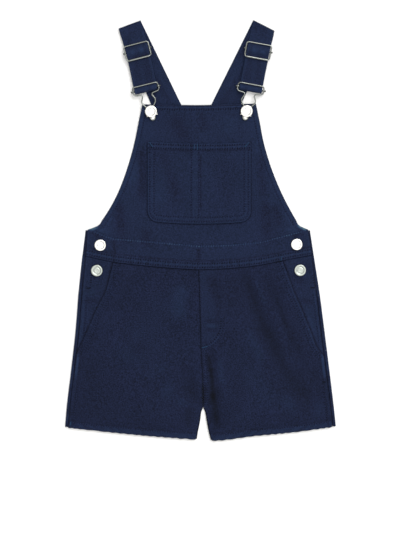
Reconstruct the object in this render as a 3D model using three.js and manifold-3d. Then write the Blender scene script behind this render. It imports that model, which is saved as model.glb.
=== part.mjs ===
// Navy denim dungaree shorts for a child, laid flat on a surface with the front side up.
// Millimetres. +X runs to the viewer's right, +Y towards the straps, +Z up from the surface.
// The cloth is a set of cut panels, each a thin wall, lying on each other as they do when laid out.

import * as THREE from "three";
import { mergeVertices } from "three/addons/utils/BufferGeometryUtils.js";
import Module from "manifold-3d";

const wasm = await Module();
wasm.setup();

// Cloth walls and the gaps between them
const CLOTH = 1.2;
const STRAP_CLOTH = 1.4;
const SEAM_GAP = 0.3;
const LAYER = CLOTH + SEAM_GAP;
const STRAP_LAYER = STRAP_CLOTH + SEAM_GAP;
const HEM_DEPTH = 9;
const HEM_EXTRA = 0.7;
const BIB_HEM_DEPTH = 6.5;
const BIB_HEM_EXTRA = 0.5;
const POCKET_HEM_DEPTH = 8.4;
const POCKET_HEM_EXTRA = 0.6;
const WAIST_FOLD_DEPTH = 10;
const WAIST_FOLD_RUN = 2;
const WAIST_FOLD_EXTRA = 0.8;
const STEP_RUN = 0.5;

// Side seams: the back cloth turns up round the edge and shows beside the front
const SIDE_RIM = 2.3;
const LEG_RIM = 1;
const RIM_TOP = LAYER + CLOTH;
const RIM_START_Y = -78;
const RIM_START_RUN = 6;
const LEG_RIM_START_Y = -238;
const HEM_TUCK = 0.8;

// Air under the front, and how far its free armhole edges sink towards the surface
const AIR = 3;
const BIB_AIR_SHARE = 0.3;
const BIB_AIR = { startY: -62, run: 60 };
const STRAPS_UNDER_BIB = { startY: 92, run: 24, extra: 0.1 };
const ARMHOLE_DROOP = 1.1;
const DROOP = { width: 24, startY: 3, startRun: 18, endY: 116, endRun: 16 };
const AIR_FADE = { side: 50, hem: 34, legs: 15 };
const FOLD_FADE = { side: 20, hem: 16 };

// Fly: an extra layer on the wearer's left, and the ridge of the centre seam below it
const FLY_WIDTH = 30;
const FLY_FOOT_Y = -148;
const FLY_EXTRA = 0.7;
const SEAM_RIDGE_WIDTH = 7;
const SEAM_RIDGE_EXTRA = 0.5;

// Slanted pockets: how far the hip piece reaches under the front, and how the front rises over it
const POCKET_TUCK = 10;
const POCKET_TUCK_START = 14;
const POCKET_TUCK_RUN = 10;
const POCKET_RISE = { beyond: 4, run: 22, waistRun: 9, footAbove: 16, footRun: 15 };

// Outer side edges of the shorts: x of the left and right edge at each y
const SIDE = [
  { y: 1, left: -149.2, right: 142.1 },
  { y: -38, left: -154.1, right: 148.1 },
  { y: -77, left: -158.1, right: 154.1 },
  { y: -129, left: -162.2, right: 160.9 },
  { y: -181, left: -168.0, right: 167.4 },
  { y: -233, left: -174.1, right: 173.6 },
  { y: -256, left: -176.0, right: 176.0 },
];

// Armhole edges of the bib, from the side corner up to the top corner
const ARMHOLE = [
  { y: 1, left: -147.2, right: 140.4 },
  { y: 6, left: -134.0, right: 129.3 },
  { y: 14, left: -127.6, right: 124.0 },
  { y: 27, left: -119.0, right: 116.5 },
  { y: 45, left: -109.2, right: 107.2 },
  { y: 66, left: -100.4, right: 97.9 },
  { y: 92, left: -91.8, right: 88.5 },
  { y: 118, left: -85.0, right: 81.3 },
  { y: 144, left: -79.7, right: 76.3 },
  { y: 164, left: -75.5, right: 72.0 },
];
const BIB_TOP = { left: 163.9, middle: 162.9, right: 164.9 };

// Share of the bib's edge, from the waist up, that lies below the side corner
const BIB_CORNER = 0.14;
const BIB_SIDE_INSET = 2;

// Waist seam, where the lower edge of the bib meets the shorts
const WAIST = [
  { x: -152, y: -32.8 },
  { x: -112.5, y: -41.1 },
  { x: -78.7, y: -45.2 },
  { x: -33.2, y: -49.3 },
  { x: -2.3, y: -50.9 },
  { x: 46.2, y: -48.6 },
  { x: 76.1, y: -45.2 },
  { x: 106, y: -39.2 },
  { x: 148, y: -31.6 },
];

// Hem edge of both legs
const HEM = [
  { x: -176, y: -255.5 },
  { x: -118.7, y: -261.7 },
  { x: -67.2, y: -266.7 },
  { x: -5.2, y: -271.4 },
  { x: 13.7, y: -272.7 },
  { x: 68.5, y: -266.9 },
  { x: 123.6, y: -261.5 },
  { x: 176, y: -254.3 },
];

// Centre seam from the waist to the crotch, and below it the inner edge of each leg
const CENTRE = [
  { y: -50.9, x: -2.3 },
  { y: -114.8, x: -0.3 },
  { y: -153.8, x: 0.8 },
  { y: -195.4, x: 3.0 },
  { y: -229.8, x: 3.3 },
];
const CROTCH = { x: 3.3, y: -229.8 };
const INNER_LEG = [
  { y: -229.8, left: 3.1, right: 3.5 },
  { y: -234, left: 1.4, right: 5.5 },
  { y: -246, left: -0.4, right: 7.9 },
  { y: -259, left: -3.0, right: 10.3 },
  { y: -272.7, left: -5.2, right: 13.7 },
];

// Slanted pocket openings of the shorts: the edge of the front panel over the hip piece
const SLASH = [
  { y: -40.5, left: -112.9, right: 107.0 },
  { y: -58, left: -117.2, right: 113.4 },
  { y: -78, left: -122.6, right: 120.8 },
  { y: -103, left: -135.1, right: 131.6 },
  { y: -132.5, left: -147.9, right: 143.6 },
  { y: -152, left: -157.0, right: 151.6 },
  { y: -166, left: -163.7, right: 162.5 },
];
const POCKET_FOOT_Y = -166;
const HIP_FOOT_Y = -172;

// Back bib: plain, narrow, and hidden under the front apart from its side corners
const BACK_BIB = [
  { y: -33, left: -153.4, right: 147.3 },
  { y: 0.9, left: -149.2, right: 142.1 },
  { y: -3, left: -140, right: 133 },
  { y: -5, left: -115, right: 107 },
  { y: 8, left: -95, right: 87 },
  { y: 32, left: -80, right: 71 },
  { y: 62, left: -67, right: 58 },
  { y: 95, left: -57, right: 46.5 },
  { y: 128, left: -48.5, right: 36.4 },
];
const BACK_WAIST_Y = -33;

// Patch pocket on the bib: corner points and curved top and bottom
const BIB_POCKET = {
  left: -68.6,
  right: 65.0,
  topLeft: 115.1,
  topMiddle: 112.6,
  topRight: 114.5,
  bottomLeft: 12.6,
  bottomMiddle: 8.7,
  bottomRight: 12.0,
  cornerRadius: 13,
};

// Largest folds of the front: a trough (height below 0) or ridge along a line, with its half width
const FOLDS = [
  { x1: 14, y1: -165, x2: 21, y2: -250, width: 8, height: -1.7 },
  { x1: 55, y1: -62, x2: 82, y2: -128, width: 12, height: -1.4 },
  { x1: 82, y1: -128, x2: 136, y2: -222, width: 15, height: -1.4 },
  { x1: 93, y1: -80, x2: 128, y2: -165, width: 9, height: -0.8 },
  { x1: 104, y1: -128, x2: 118, y2: -160, width: 12, height: 0.7 },
  { x1: 46, y1: -170, x2: 52, y2: -240, width: 18, height: 0.8 },
  { x1: 15, y1: -68, x2: 26, y2: -98, width: 9, height: -0.7 },
  { x1: -20, y1: -185, x2: -9, y2: -212, width: 10, height: -1.0 },
  { x1: -14, y1: -228, x2: -16, y2: -252, width: 8, height: -0.8 },
  { x1: -62, y1: -95, x2: -72, y2: -160, width: 20, height: 0.8 },
  { x1: -120, y1: -190, x2: -104, y2: -240, width: 18, height: -0.8 },
  { x1: -34, y1: 140, x2: -20, y2: 118, width: 14, height: -0.6 },
  { x1: -54, y1: 96, x2: -36, y2: 42, width: 15, height: -0.9 },
  { x1: 30, y1: 84, x2: 36, y2: 40, width: 17, height: -0.5 },
  { x1: -104, y1: 8, x2: -102, y2: -14, width: 10, height: -0.6 },
  { x1: 84, y1: 22, x2: 88, y2: -8, width: 11, height: -0.7 },
];

// Straps: both edges at the back bib, both ends of the shoulder crease, and the buckles' places
const STRAPS = [
  {
    side: "left",
    foot: { inner: -7.9, outer: -48.5, y: 128.3 },
    creaseInner: { x: -78.9, y: 272.2 },
    creaseOuter: { x: -105.8, y: 261.8 },
    slide: { x: -82.1, y: 233.4, tilt: 14.5 },
    hook: { x: -64.1, y: 155.4, tilt: 14 },
  },
  {
    side: "right",
    foot: { inner: -3.6, outer: 36.4, y: 128.3 },
    creaseInner: { x: 68.3, y: 272.4 },
    creaseOuter: { x: 95.0, y: 258.8 },
    slide: { x: 74.7, y: 233.4, tilt: -10.3 },
    hook: { x: 59.8, y: 155.7, tilt: -10.8 },
  },
];
const STRAP_HALF = 14.8;

// Slide buckle: a wire frame with a centre bar, lying across the strap
const WIRE = 0.95;
const SLIDE = {
  width: 32.4,
  height: 19.2,
  corner: 3,
  z: 6.3,
  lowerBar: 1.2,
  bar: 0.9,
  barAbove: 1,
  barZ: 5,
  knob: 1.3,
  knobReach: 18.9,
};

// Hook: its wire loop and cross bar, measured from the middle of the bib button
const HOOK = {
  crossBar: 29,
  crossZ: 4.7,
  neckZ: 4.95,
  bar: 1.1,
  reach: 16.9,
  knob: 1.35,
  knobReach: 20,
  foot: 12.1,
  footHalf: 3.2,
};

// One half of the hook's wire, from the middle of the top bar to the foot of the loop
const HOOK_WIRE = [
  { across: 0, up: 34.5, z: 7.2 },
  { across: 7, up: 34.5, z: 7.2 },
  { across: 13.4, up: 34.4, z: 7.2 },
  { across: 16, up: 32.6, z: 6.4 },
  { across: 16.9, up: 29, z: 4.7 },
  { across: 16.9, up: 25.9, z: 4.8 },
  { across: 15, up: 23.7, z: 4.95 },
  { across: 11.2, up: 23, z: 4.95 },
  { across: 7.7, up: 22.3, z: 4.95 },
  { across: 6.4, up: 20.3, z: 4.95 },
  { across: 7.7, up: 17, z: 4.95 },
  { across: 9.1, up: 13.3, z: 4.95 },
  { across: 8, up: 9.8, z: 4.95 },
  { across: 5, up: 5.9, z: 4.95 },
  { across: 3.4, up: 1.8, z: 4.95 },
  { across: 3.3, up: -3, z: 4.95 },
  { across: 3.3, up: -8, z: 4.95 },
  { across: 2.3, up: -11, z: 4.95 },
];

// Height of the strap's middle at each distance past the middle of the slide
const STRAP_LAY = [
  { past: -27, z: 2.85 },
  { past: -19, z: 3.0 },
  { past: -14, z: 3.3 },
  { past: -9.5, z: 4.05 },
  { past: -6, z: 5.4 },
  { past: -3.5, z: 6.55 },
  { past: -1, z: 6.95 },
  { past: 1.5, z: 6.6 },
  { past: 5, z: 5.2 },
  { past: 9.5, z: 4.15 },
  { past: 15, z: 4.15 },
  { past: 25, z: 4.15 },
  { past: 35, z: 4.15 },
];

// Height of the strap's middle above the hook's cross bar, at each distance up from it
const STRAP_OVER_HOOK = [
  { up: 7, z: 4.4 },
  { up: 4.2, z: 5 },
  { up: 2.2, z: 6.2 },
];

// Buttons: place, and whether a hook lies under the head
const HEAD_RADIUS = 8.1;
const SIDE_HEAD_RADIUS = 7.9;
const HEAD_THICK = 2;
const NECK_RADIUS = 2;
const SIDE_FOOT_RADIUS = 3.4;
const SIDE_BUTTONS = [
  { name: "side_button_upper_left", x: -130, y: -19 },
  { name: "side_button_lower_left", x: -134.8, y: -51.6 },
  { name: "side_button_upper_right", x: 124.8, y: -18 },
  { name: "side_button_lower_right", x: 129.7, y: -51.1 },
];

const DENIM = new THREE.MeshStandardMaterial({ color: 0x242c40, roughness: 0.9, metalness: 0 });
const STEEL = new THREE.MeshStandardMaterial({ color: 0xc8cac6, roughness: 0.25, metalness: 1 });
const lerp = THREE.MathUtils.lerp;

// A smooth step from 0 to 1
function ease(value) {
  const t = THREE.MathUtils.clamp(value, 0, 1);
  return t * t * (3 - 2 * t);
}

// A column of a table at any value of its key column, held at the table's ends
function sample(rows, key, column, at) {
  const rising = rows[rows.length - 1][key] > rows[0][key];
  const sign = rising ? 1 : -1;
  if (sign * at <= sign * rows[0][key]) return rows[0][column];
  for (let i = 1; i < rows.length; i += 1) {
    if (sign * at > sign * rows[i][key]) continue;
    const share = (at - rows[i - 1][key]) / (rows[i][key] - rows[i - 1][key]);
    return lerp(rows[i - 1][column], rows[i][column], share);
  }
  return rows[rows.length - 1][column];
}

// The garment's outer edge seen from above
function outlineX(side, y) {
  return y > ARMHOLE[0].y ? sample(ARMHOLE, "y", side, y) : sample(SIDE, "y", side, y);
}

function waistY(x) {
  return sample(WAIST, "x", "y", x);
}

function hemY(x) {
  return sample(HEM, "x", "y", x);
}

// How far a point lies from the gap between the legs
function legGap(x, y) {
  if (y >= CROTCH.y) return Math.hypot(x - CROTCH.x, y - CROTCH.y);
  const left = sample(INNER_LEG, "y", "left", y);
  const right = sample(INNER_LEG, "y", "right", y);
  return Math.max(left - x, x - right, 0);
}

function foldHeight(x, y) {
  let height = 0;
  for (const fold of FOLDS) {
    const run = new THREE.Vector2(fold.x2 - fold.x1, fold.y2 - fold.y1);
    const from = new THREE.Vector2(x - fold.x1, y - fold.y1);
    const share = THREE.MathUtils.clamp(from.dot(run) / run.lengthSq(), 0, 1);
    const away = from.addScaledVector(run, -share).length() / fold.width;
    height += fold.height * Math.exp(-away * away);
  }
  return height;
}

// Underside of the front cloth above the surface, before a pocket lifts it
function frontLift(x, y) {
  const edge = Math.min(x - outlineX("left", y), outlineX("right", y) - x);
  const hem = y - hemY(x);
  const share = lerp(1, BIB_AIR_SHARE, ease((y - BIB_AIR.startY) / BIB_AIR.run));
  const nearLegs = ease(legGap(x, y) / AIR_FADE.legs);
  const nearEdges = ease(edge / AIR_FADE.side) * ease(hem / AIR_FADE.hem) * nearLegs;
  const folds = foldHeight(x, y) * ease(edge / FOLD_FADE.side) * ease(hem / FOLD_FADE.hem);
  const strapRise = STRAP_LAYER - LAYER + STRAPS_UNDER_BIB.extra;
  const lowest = LAYER + strapRise * ease((y - STRAPS_UNDER_BIB.startY) / STRAPS_UNDER_BIB.run);
  const belowStraps = 1 - ease((y - DROOP.endY) / DROOP.endRun);
  const alongArmhole = ease((y - DROOP.startY) / DROOP.startRun) * belowStraps;
  const droop = ARMHOLE_DROOP * (1 - ease(edge / DROOP.width)) * alongArmhole;
  return Math.max(lowest + AIR * share * nearEdges + folds, lowest) - droop;
}

// Rise of the front panel where the hip piece lies under its slanted edge
function pocketLift(x, y) {
  const inside = Math.min(x - slashX("left", y), slashX("right", y) - x);
  const nearEdge = 1 - ease((inside - POCKET_TUCK - POCKET_RISE.beyond) / POCKET_RISE.run);
  const belowWaist = ease((waistY(x) - y) / POCKET_RISE.waistRun);
  return LAYER * nearEdge * belowWaist * ease((y - HIP_FOOT_Y + POCKET_RISE.footAbove) / POCKET_RISE.footRun);
}

// The front panel's outer edge: the slanted opening, then the side seam below it
function slashX(side, y) {
  const seam = outlineX(side, y) + (side === "left" ? 1 : -1) * (SIDE_RIM + SEAM_GAP);
  if (y < POCKET_FOOT_Y) return seam;
  return sample(SLASH, "y", side, y);
}

// Points of a straight or table edge as functions of a share from 0 to 1
function edgeThrough(points) {
  const path = points.map(([x, y]) => new THREE.Vector2(x, y));
  return (share) => {
    const place = THREE.MathUtils.clamp(share, 0, 1) * (path.length - 1);
    const i = Math.min(Math.floor(place), path.length - 2);
    return path[i].clone().lerp(path[i + 1], place - i);
  };
}

function smoothEdge(points) {
  const curve = new THREE.SplineCurve(points.map(([x, y]) => new THREE.Vector2(x, y)));
  return (share) => curve.getPoint(share);
}

// Even shares from one value to another
function shares(count, from = 0, to = 1) {
  return Array.from({ length: count + 1 }, (unused, i) => lerp(from, to, i / count));
}

// A closed thin wall between four edges: each grid point gets a height below and above
function panelGeometry({ bottom, top, left, right, across, along, under, over }) {
  const corner = [left(0), right(0), left(1), right(1)];
  const lower = [];
  const upper = [];
  for (const v of along) {
    for (const u of across) {
      const point = bottom(u).multiplyScalar(1 - v).addScaledVector(top(u), v);
      point.addScaledVector(left(v), 1 - u).addScaledVector(right(v), u);
      point.addScaledVector(corner[0], -(1 - u) * (1 - v)).addScaledVector(corner[1], -u * (1 - v));
      point.addScaledVector(corner[2], -(1 - u) * v).addScaledVector(corner[3], -u * v);
      lower.push(point.x, point.y, under(point.x, point.y, u, v));
      upper.push(point.x, point.y, over(point.x, point.y, u, v));
    }
  }
  return closedWall(lower, upper, across.length, along.length);
}

// Joins a lower and an upper grid of points into one closed body
function closedWall(lower, upper, columns, rows) {
  const raised = columns * rows;
  const index = [];
  const at = (i, j) => j * columns + i;
  for (let j = 0; j + 1 < rows; j += 1) {
    for (let i = 0; i + 1 < columns; i += 1) {
      const quad = [at(i, j), at(i + 1, j), at(i + 1, j + 1), at(i, j + 1)];
      index.push(quad[0], quad[2], quad[1], quad[0], quad[3], quad[2]);
      index.push(quad[0] + raised, quad[1] + raised, quad[2] + raised);
      index.push(quad[0] + raised, quad[2] + raised, quad[3] + raised);
    }
  }
  const rim = [];
  for (let i = 0; i < columns - 1; i += 1) rim.push(at(i, 0));
  for (let j = 0; j < rows - 1; j += 1) rim.push(at(columns - 1, j));
  for (let i = columns - 1; i > 0; i -= 1) rim.push(at(i, rows - 1));
  for (let j = rows - 1; j > 0; j -= 1) rim.push(at(0, j));
  rim.forEach((a, k) => {
    const b = rim[(k + 1) % rim.length];
    index.push(a, b, b + raised, a, b + raised, a + raised);
  });
  const geometry = new THREE.BufferGeometry();
  geometry.setAttribute("position", new THREE.Float32BufferAttribute([...lower, ...upper], 3));
  geometry.setIndex(index);
  return geometry;
}

// Joining of closed meshes into one solid
function toSolid(geometry) {
  const bare = geometry.clone();
  bare.deleteAttribute("normal");
  bare.deleteAttribute("uv");
  const merged = mergeVertices(bare, 1e-4);
  return new wasm.Manifold(new wasm.Mesh({
    numProp: 3,
    vertProperties: new Float32Array(merged.attributes.position.array),
    triVerts: new Uint32Array(merged.index.array),
  }));
}

function union(geometries) {
  const solid = geometries.map(toSolid).reduce((sum, next) => sum.add(next));
  const mesh = solid.getMesh();
  const geometry = new THREE.BufferGeometry();
  geometry.setAttribute("position", new THREE.Float32BufferAttribute(mesh.vertProperties, 3));
  geometry.setIndex(Array.from(mesh.triVerts));
  return geometry;
}

const garment = new THREE.Group();

function addPiece(name, geometry, material) {
  const mesh = new THREE.Mesh(geometry, material);
  mesh.name = name;
  garment.add(mesh);
  return mesh;
}

// Back of the shorts, one panel for each leg, flat on the surface, its outer rim turned up
function backPanel(side) {
  const sign = side === "left" ? 1 : -1;
  const outerX = (y) => sample(SIDE, "y", side, y);
  const innerX = (y) => {
    const x = y > CROTCH.y ? sample(CENTRE, "y", "x", y) : sample(INNER_LEG, "y", side, y);
    return x - sign * (y > CROTCH.y ? SEAM_GAP / 2 : 0);
  };
  const topY = BACK_WAIST_Y - SEAM_GAP;
  const lowRows = [HEM[0].y, -246, LEG_RIM_START_Y, -234, CROTCH.y, -200, -160, -120];
  const rowYs = [...lowRows, RIM_START_Y - RIM_START_RUN, RIM_START_Y, topY];
  const lower = [];
  const upper = [];
  for (const [row, y] of rowYs.entries()) {
    const outer = outerX(y);
    const inner = innerX(y);
    const rimHigh = y < RIM_START_Y - 1 ? RIM_TOP : CLOTH;
    const legHigh = y <= LEG_RIM_START_Y ? RIM_TOP : CLOTH;
    const columns = [
      { x: outer, high: rimHigh },
      { x: outer + sign * (SIDE_RIM - STEP_RUN), high: rimHigh },
      { x: outer + sign * SIDE_RIM, high: CLOTH },
      { x: lerp(outer, inner, 0.35), high: CLOTH },
      { x: lerp(outer, inner, 0.7), high: CLOTH },
      { x: inner - sign * LEG_RIM, high: CLOTH },
      { x: inner - sign * (LEG_RIM - STEP_RUN), high: legHigh },
      { x: inner, high: legHigh },
    ];
    if (side === "right") columns.reverse();
    for (const { x, high } of columns) {
      const rowY = row === 0 ? hemY(x) + HEM_TUCK : y;
      lower.push(x, rowY, 0);
      upper.push(x, rowY, high);
    }
  }
  addPiece(`back_${side}`, closedWall(lower, upper, 8, rowYs.length), DENIM);
}

function backBib() {
  const shape = new THREE.Shape();
  BACK_BIB.forEach((row, i) => (i === 0 ? shape.moveTo(row.left, row.y) : shape.lineTo(row.left, row.y)));
  [...BACK_BIB].reverse().forEach((row) => shape.lineTo(row.right, row.y));
  shape.closePath();
  const geometry = new THREE.ExtrudeGeometry(shape, { depth: CLOTH, bevelEnabled: false });
  addPiece("back_bib", geometry, DENIM);
}

// Front panel of one leg, from the hem to the waist, with the slanted pocket edge outside
function frontPanel(side) {
  const sign = side === "left" ? 1 : -1;
  const seamX = (y) => outlineX(side, y) + sign * (SIDE_RIM + SEAM_GAP);
  const outerPoints = [[seamX(-255), hemY(seamX(-255))]];
  for (const y of [-233, -207, -184]) outerPoints.push([seamX(y), y]);
  for (const row of [...SLASH].reverse()) outerPoints.push([row[side], row.y]);
  outerPoints[outerPoints.length - 1][1] = waistY(SLASH[0][side]) - SEAM_GAP / 2;
  const innerPoints = [];
  for (const row of [...INNER_LEG].reverse()) {
    const y = Math.max(row.y, hemY(row[side]));
    innerPoints.push([row[side] - sign * (LEG_RIM + SEAM_GAP), y]);
  }
  innerPoints[innerPoints.length - 1][0] = CROTCH.x - sign * SEAM_GAP;
  for (const row of [...CENTRE].reverse().slice(1)) innerPoints.push([row.x - sign * (SEAM_GAP / 2), row.y]);
  innerPoints[innerPoints.length - 1][1] -= SEAM_GAP / 2;
  const outer = edgeThrough(outerPoints);
  const inner = edgeThrough(innerPoints);
  const between = (level) => (u) => {
    const from = (side === "left" ? outer : inner)(level);
    const to = (side === "left" ? inner : outer)(level);
    const x = lerp(from.x, to.x, u);
    const y = level === 0 ? hemY(x) : waistY(x) - SEAM_GAP / 2;
    return new THREE.Vector2(x, y);
  };
  const bands = [0, 0.036, 0.039, ...shares(20, 0.08, 1)];
  const under = (x, y) => frontLift(x, y) + pocketLift(x, y);
  const over = (x, y) => {
    const hem = y - hemY(x) < HEM_DEPTH ? HEM_EXTRA : 0;
    return under(x, y) + CLOTH + hem + (side === "right" ? flyRise(x, y) : 0);
  };
  addPiece(`front_${side}`, panelGeometry({
    bottom: between(0),
    top: between(1),
    left: side === "left" ? outer : inner,
    right: side === "left" ? inner : outer,
    across: side === "left" ? shares(20) : [0, 0.045, ...shares(18, 0.1, 1)],
    along: bands,
    under,
    over,
  }), DENIM);
}

// The fly's extra layer beside the centre seam, and the seam's ridge below it
function flyRise(x, y) {
  const inside = x - sample(CENTRE, "y", "x", y);
  const fly = FLY_EXTRA * (1 - ease((inside - FLY_WIDTH) / 6)) * ease((y - FLY_FOOT_Y + inside * 0.1) / 6);
  const ridge = SEAM_RIDGE_EXTRA * (1 - ease((inside - SEAM_RIDGE_WIDTH) / 4)) * ease((y - CROTCH.y) / 20);
  return Math.max(fly, ridge);
}

// Hip piece that shows in the pocket opening and carries the lower side button
function hipPiece(side) {
  const sign = side === "left" ? 1 : -1;
  const outerX = (y) => outlineX(side, y) + sign * (SIDE_RIM + SEAM_GAP);
  const topY = waistY(SLASH[0][side]) - SEAM_GAP / 2;
  const innerX = (y) => {
    const tuck = lerp(-SEAM_GAP, POCKET_TUCK, ease((topY - y - POCKET_TUCK_START) / POCKET_TUCK_RUN));
    return sample(SLASH, "y", side, y) + sign * tuck;
  };
  const edge = (xOf) => (share) => {
    const y = lerp(HIP_FOOT_Y, topY, share);
    return new THREE.Vector2(xOf(y), y);
  };
  const outer = edge(outerX);
  const inner = edge(innerX);
  const left = side === "left" ? outer : inner;
  const right = side === "left" ? inner : outer;
  const waist = (u) => {
    const x = lerp(left(1).x, right(1).x, u);
    return new THREE.Vector2(x, waistY(x) - SEAM_GAP / 2);
  };
  const raised = (edgeAt) => (share) => {
    const point = edgeAt(share);
    point.y += share * share * (waistY(point.x) - SEAM_GAP / 2 - topY);
    return point;
  };
  addPiece(`hip_${side}`, panelGeometry({
    bottom: (u) => left(0).lerp(right(0), u),
    top: waist,
    left: raised(left),
    right: raised(right),
    across: shares(6),
    along: shares(13),
    under: frontLift,
    over: (x, y) => frontLift(x, y) + CLOTH,
  }), DENIM);
}

// Bib from the waist seam to its top hem, with the side edges and the curved armholes
function bibEdge(side) {
  const sign = side === "left" ? 1 : -1;
  const sideX = (y) => sample(SIDE, "y", side, y) + sign * BIB_SIDE_INSET;
  const footX = sideX(BACK_WAIST_Y);
  const foot = [footX, waistY(footX) + SEAM_GAP / 2];
  const sidePart = edgeThrough([foot, [sideX(-18), -18], [ARMHOLE[0][side], ARMHOLE[0].y]]);
  const armhole = smoothEdge(ARMHOLE.map((row, i) => {
    const last = i === ARMHOLE.length - 1;
    return [row[side], last ? BIB_TOP[side] : row.y];
  }));
  return (v) => (v < BIB_CORNER ? sidePart(v / BIB_CORNER) : armhole((v - BIB_CORNER) / (1 - BIB_CORNER)));
}

function bibUpper(x, y) {
  const fold = WAIST_FOLD_EXTRA * (1 - ease((y - waistY(x) - WAIST_FOLD_DEPTH) / WAIST_FOLD_RUN));
  const hem = y > bibTopY(x) - BIB_HEM_DEPTH ? BIB_HEM_EXTRA : 0;
  return frontLift(x, y) + CLOTH + fold + hem;
}

function bibTopY(x) {
  const rows = [
    { x: ARMHOLE[ARMHOLE.length - 1].left, y: BIB_TOP.left },
    { x: 0, y: BIB_TOP.middle },
    { x: ARMHOLE[ARMHOLE.length - 1].right, y: BIB_TOP.right },
  ];
  return sample(rows, "x", "y", x);
}

function bib() {
  const left = bibEdge("left");
  const right = bibEdge("right");
  const along = [0, 0.05, 0.07, BIB_CORNER, ...shares(16, 0.19, 0.95), 0.9615, 0.967, 1];
  addPiece("bib", panelGeometry({
    bottom: (u) => {
      const x = lerp(left(0).x, right(0).x, u);
      return new THREE.Vector2(x, waistY(x) + SEAM_GAP / 2);
    },
    top: (u) => {
      const x = lerp(left(1).x, right(1).x, u);
      return new THREE.Vector2(x, bibTopY(x));
    },
    left,
    right,
    across: shares(24),
    along,
    under: frontLift,
    over: bibUpper,
  }), DENIM);
}

// Patch pocket, made from the bib's own surface moved out
function bibPocket() {
  const p = BIB_POCKET;
  const round = p.cornerRadius;
  const diagonal = round * (1 - Math.SQRT1_2);
  const sagged = (from, middle, to) => (u) => {
    const sag = 4 * u * (1 - u) * (middle - (from + to) / 2);
    return lerp(from, to, u) + sag;
  };
  const bottomY = sagged(p.bottomLeft, p.bottomMiddle, p.bottomRight);
  const cornerDrop = (x) => {
    const inside = Math.min(x - p.left, p.right - x);
    const reach = Math.max(round - inside, 0);
    return round - Math.sqrt(Math.max(round * round - reach * reach, 0));
  };
  const leftX = p.left + diagonal;
  const rightX = p.right - diagonal;
  const topY = sagged(p.topLeft, p.topMiddle, p.topRight);
  const sideX = (share, edgeX, sign) => {
    const up = share * (p.topLeft - p.bottomLeft);
    const reach = Math.max(round - diagonal - up, 0);
    return edgeX + sign * (round - Math.sqrt(Math.max(round * round - reach * reach, 0)));
  };
  const sideEdge = (edgeX, sign, lowY, highY) => (share) => {
    const y = lerp(lowY + diagonal, highY, share);
    return new THREE.Vector2(sideX(share, edgeX, sign), y);
  };
  const surface = (x, y) => frontLift(x, y) + CLOTH + SEAM_GAP;
  const hemShare = 1 - POCKET_HEM_DEPTH / (p.topLeft - p.bottomLeft);
  addPiece("bib_pocket", panelGeometry({
    bottom: (u) => {
      const x = lerp(leftX, rightX, u);
      return new THREE.Vector2(x, bottomY((x - p.left) / (p.right - p.left)) + cornerDrop(x));
    },
    top: (u) => new THREE.Vector2(lerp(p.left, p.right, u), topY(u)),
    left: sideEdge(p.left, 1, p.bottomLeft, p.topLeft),
    right: sideEdge(p.right, -1, p.bottomRight, p.topRight),
    across: [0, 0.03, 0.07, ...shares(9, 0.13, 0.87), 0.93, 0.97, 1],
    along: [0, 0.05, 0.1, ...shares(8, 0.16, 0.9), hemShare - 0.003, hemShare + 0.003, 1],
    under: surface,
    over: (x, y, u, v) => surface(x, y) + CLOTH + (v > hemShare ? POCKET_HEM_EXTRA : 0),
  }), DENIM);
}

// A place on a strap's front run: the middle line bends once, at the slide
function strapLine(strap) {
  const turn = (tilt) => THREE.MathUtils.degToRad(tilt);
  const crease = new THREE.Vector2(
    (strap.creaseInner.x + strap.creaseOuter.x) / 2,
    (strap.creaseInner.y + strap.creaseOuter.y) / 2,
  );
  const slide = new THREE.Vector2(strap.slide.x, strap.slide.y);
  const hookUp = new THREE.Vector2(-Math.sin(turn(strap.hook.tilt)), Math.cos(turn(strap.hook.tilt)));
  const cross = new THREE.Vector2(strap.hook.x, strap.hook.y).addScaledVector(hookUp, HOOK.crossBar);
  const upper = crease.distanceTo(slide);
  const length = upper + slide.distanceTo(cross);
  const at = (distance) => {
    if (distance < upper) return crease.clone().lerp(slide, distance / upper);
    return slide.clone().lerp(cross, (distance - upper) / (length - upper));
  };
  return { at, crease, cross, hookUp, length, upper };
}

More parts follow.
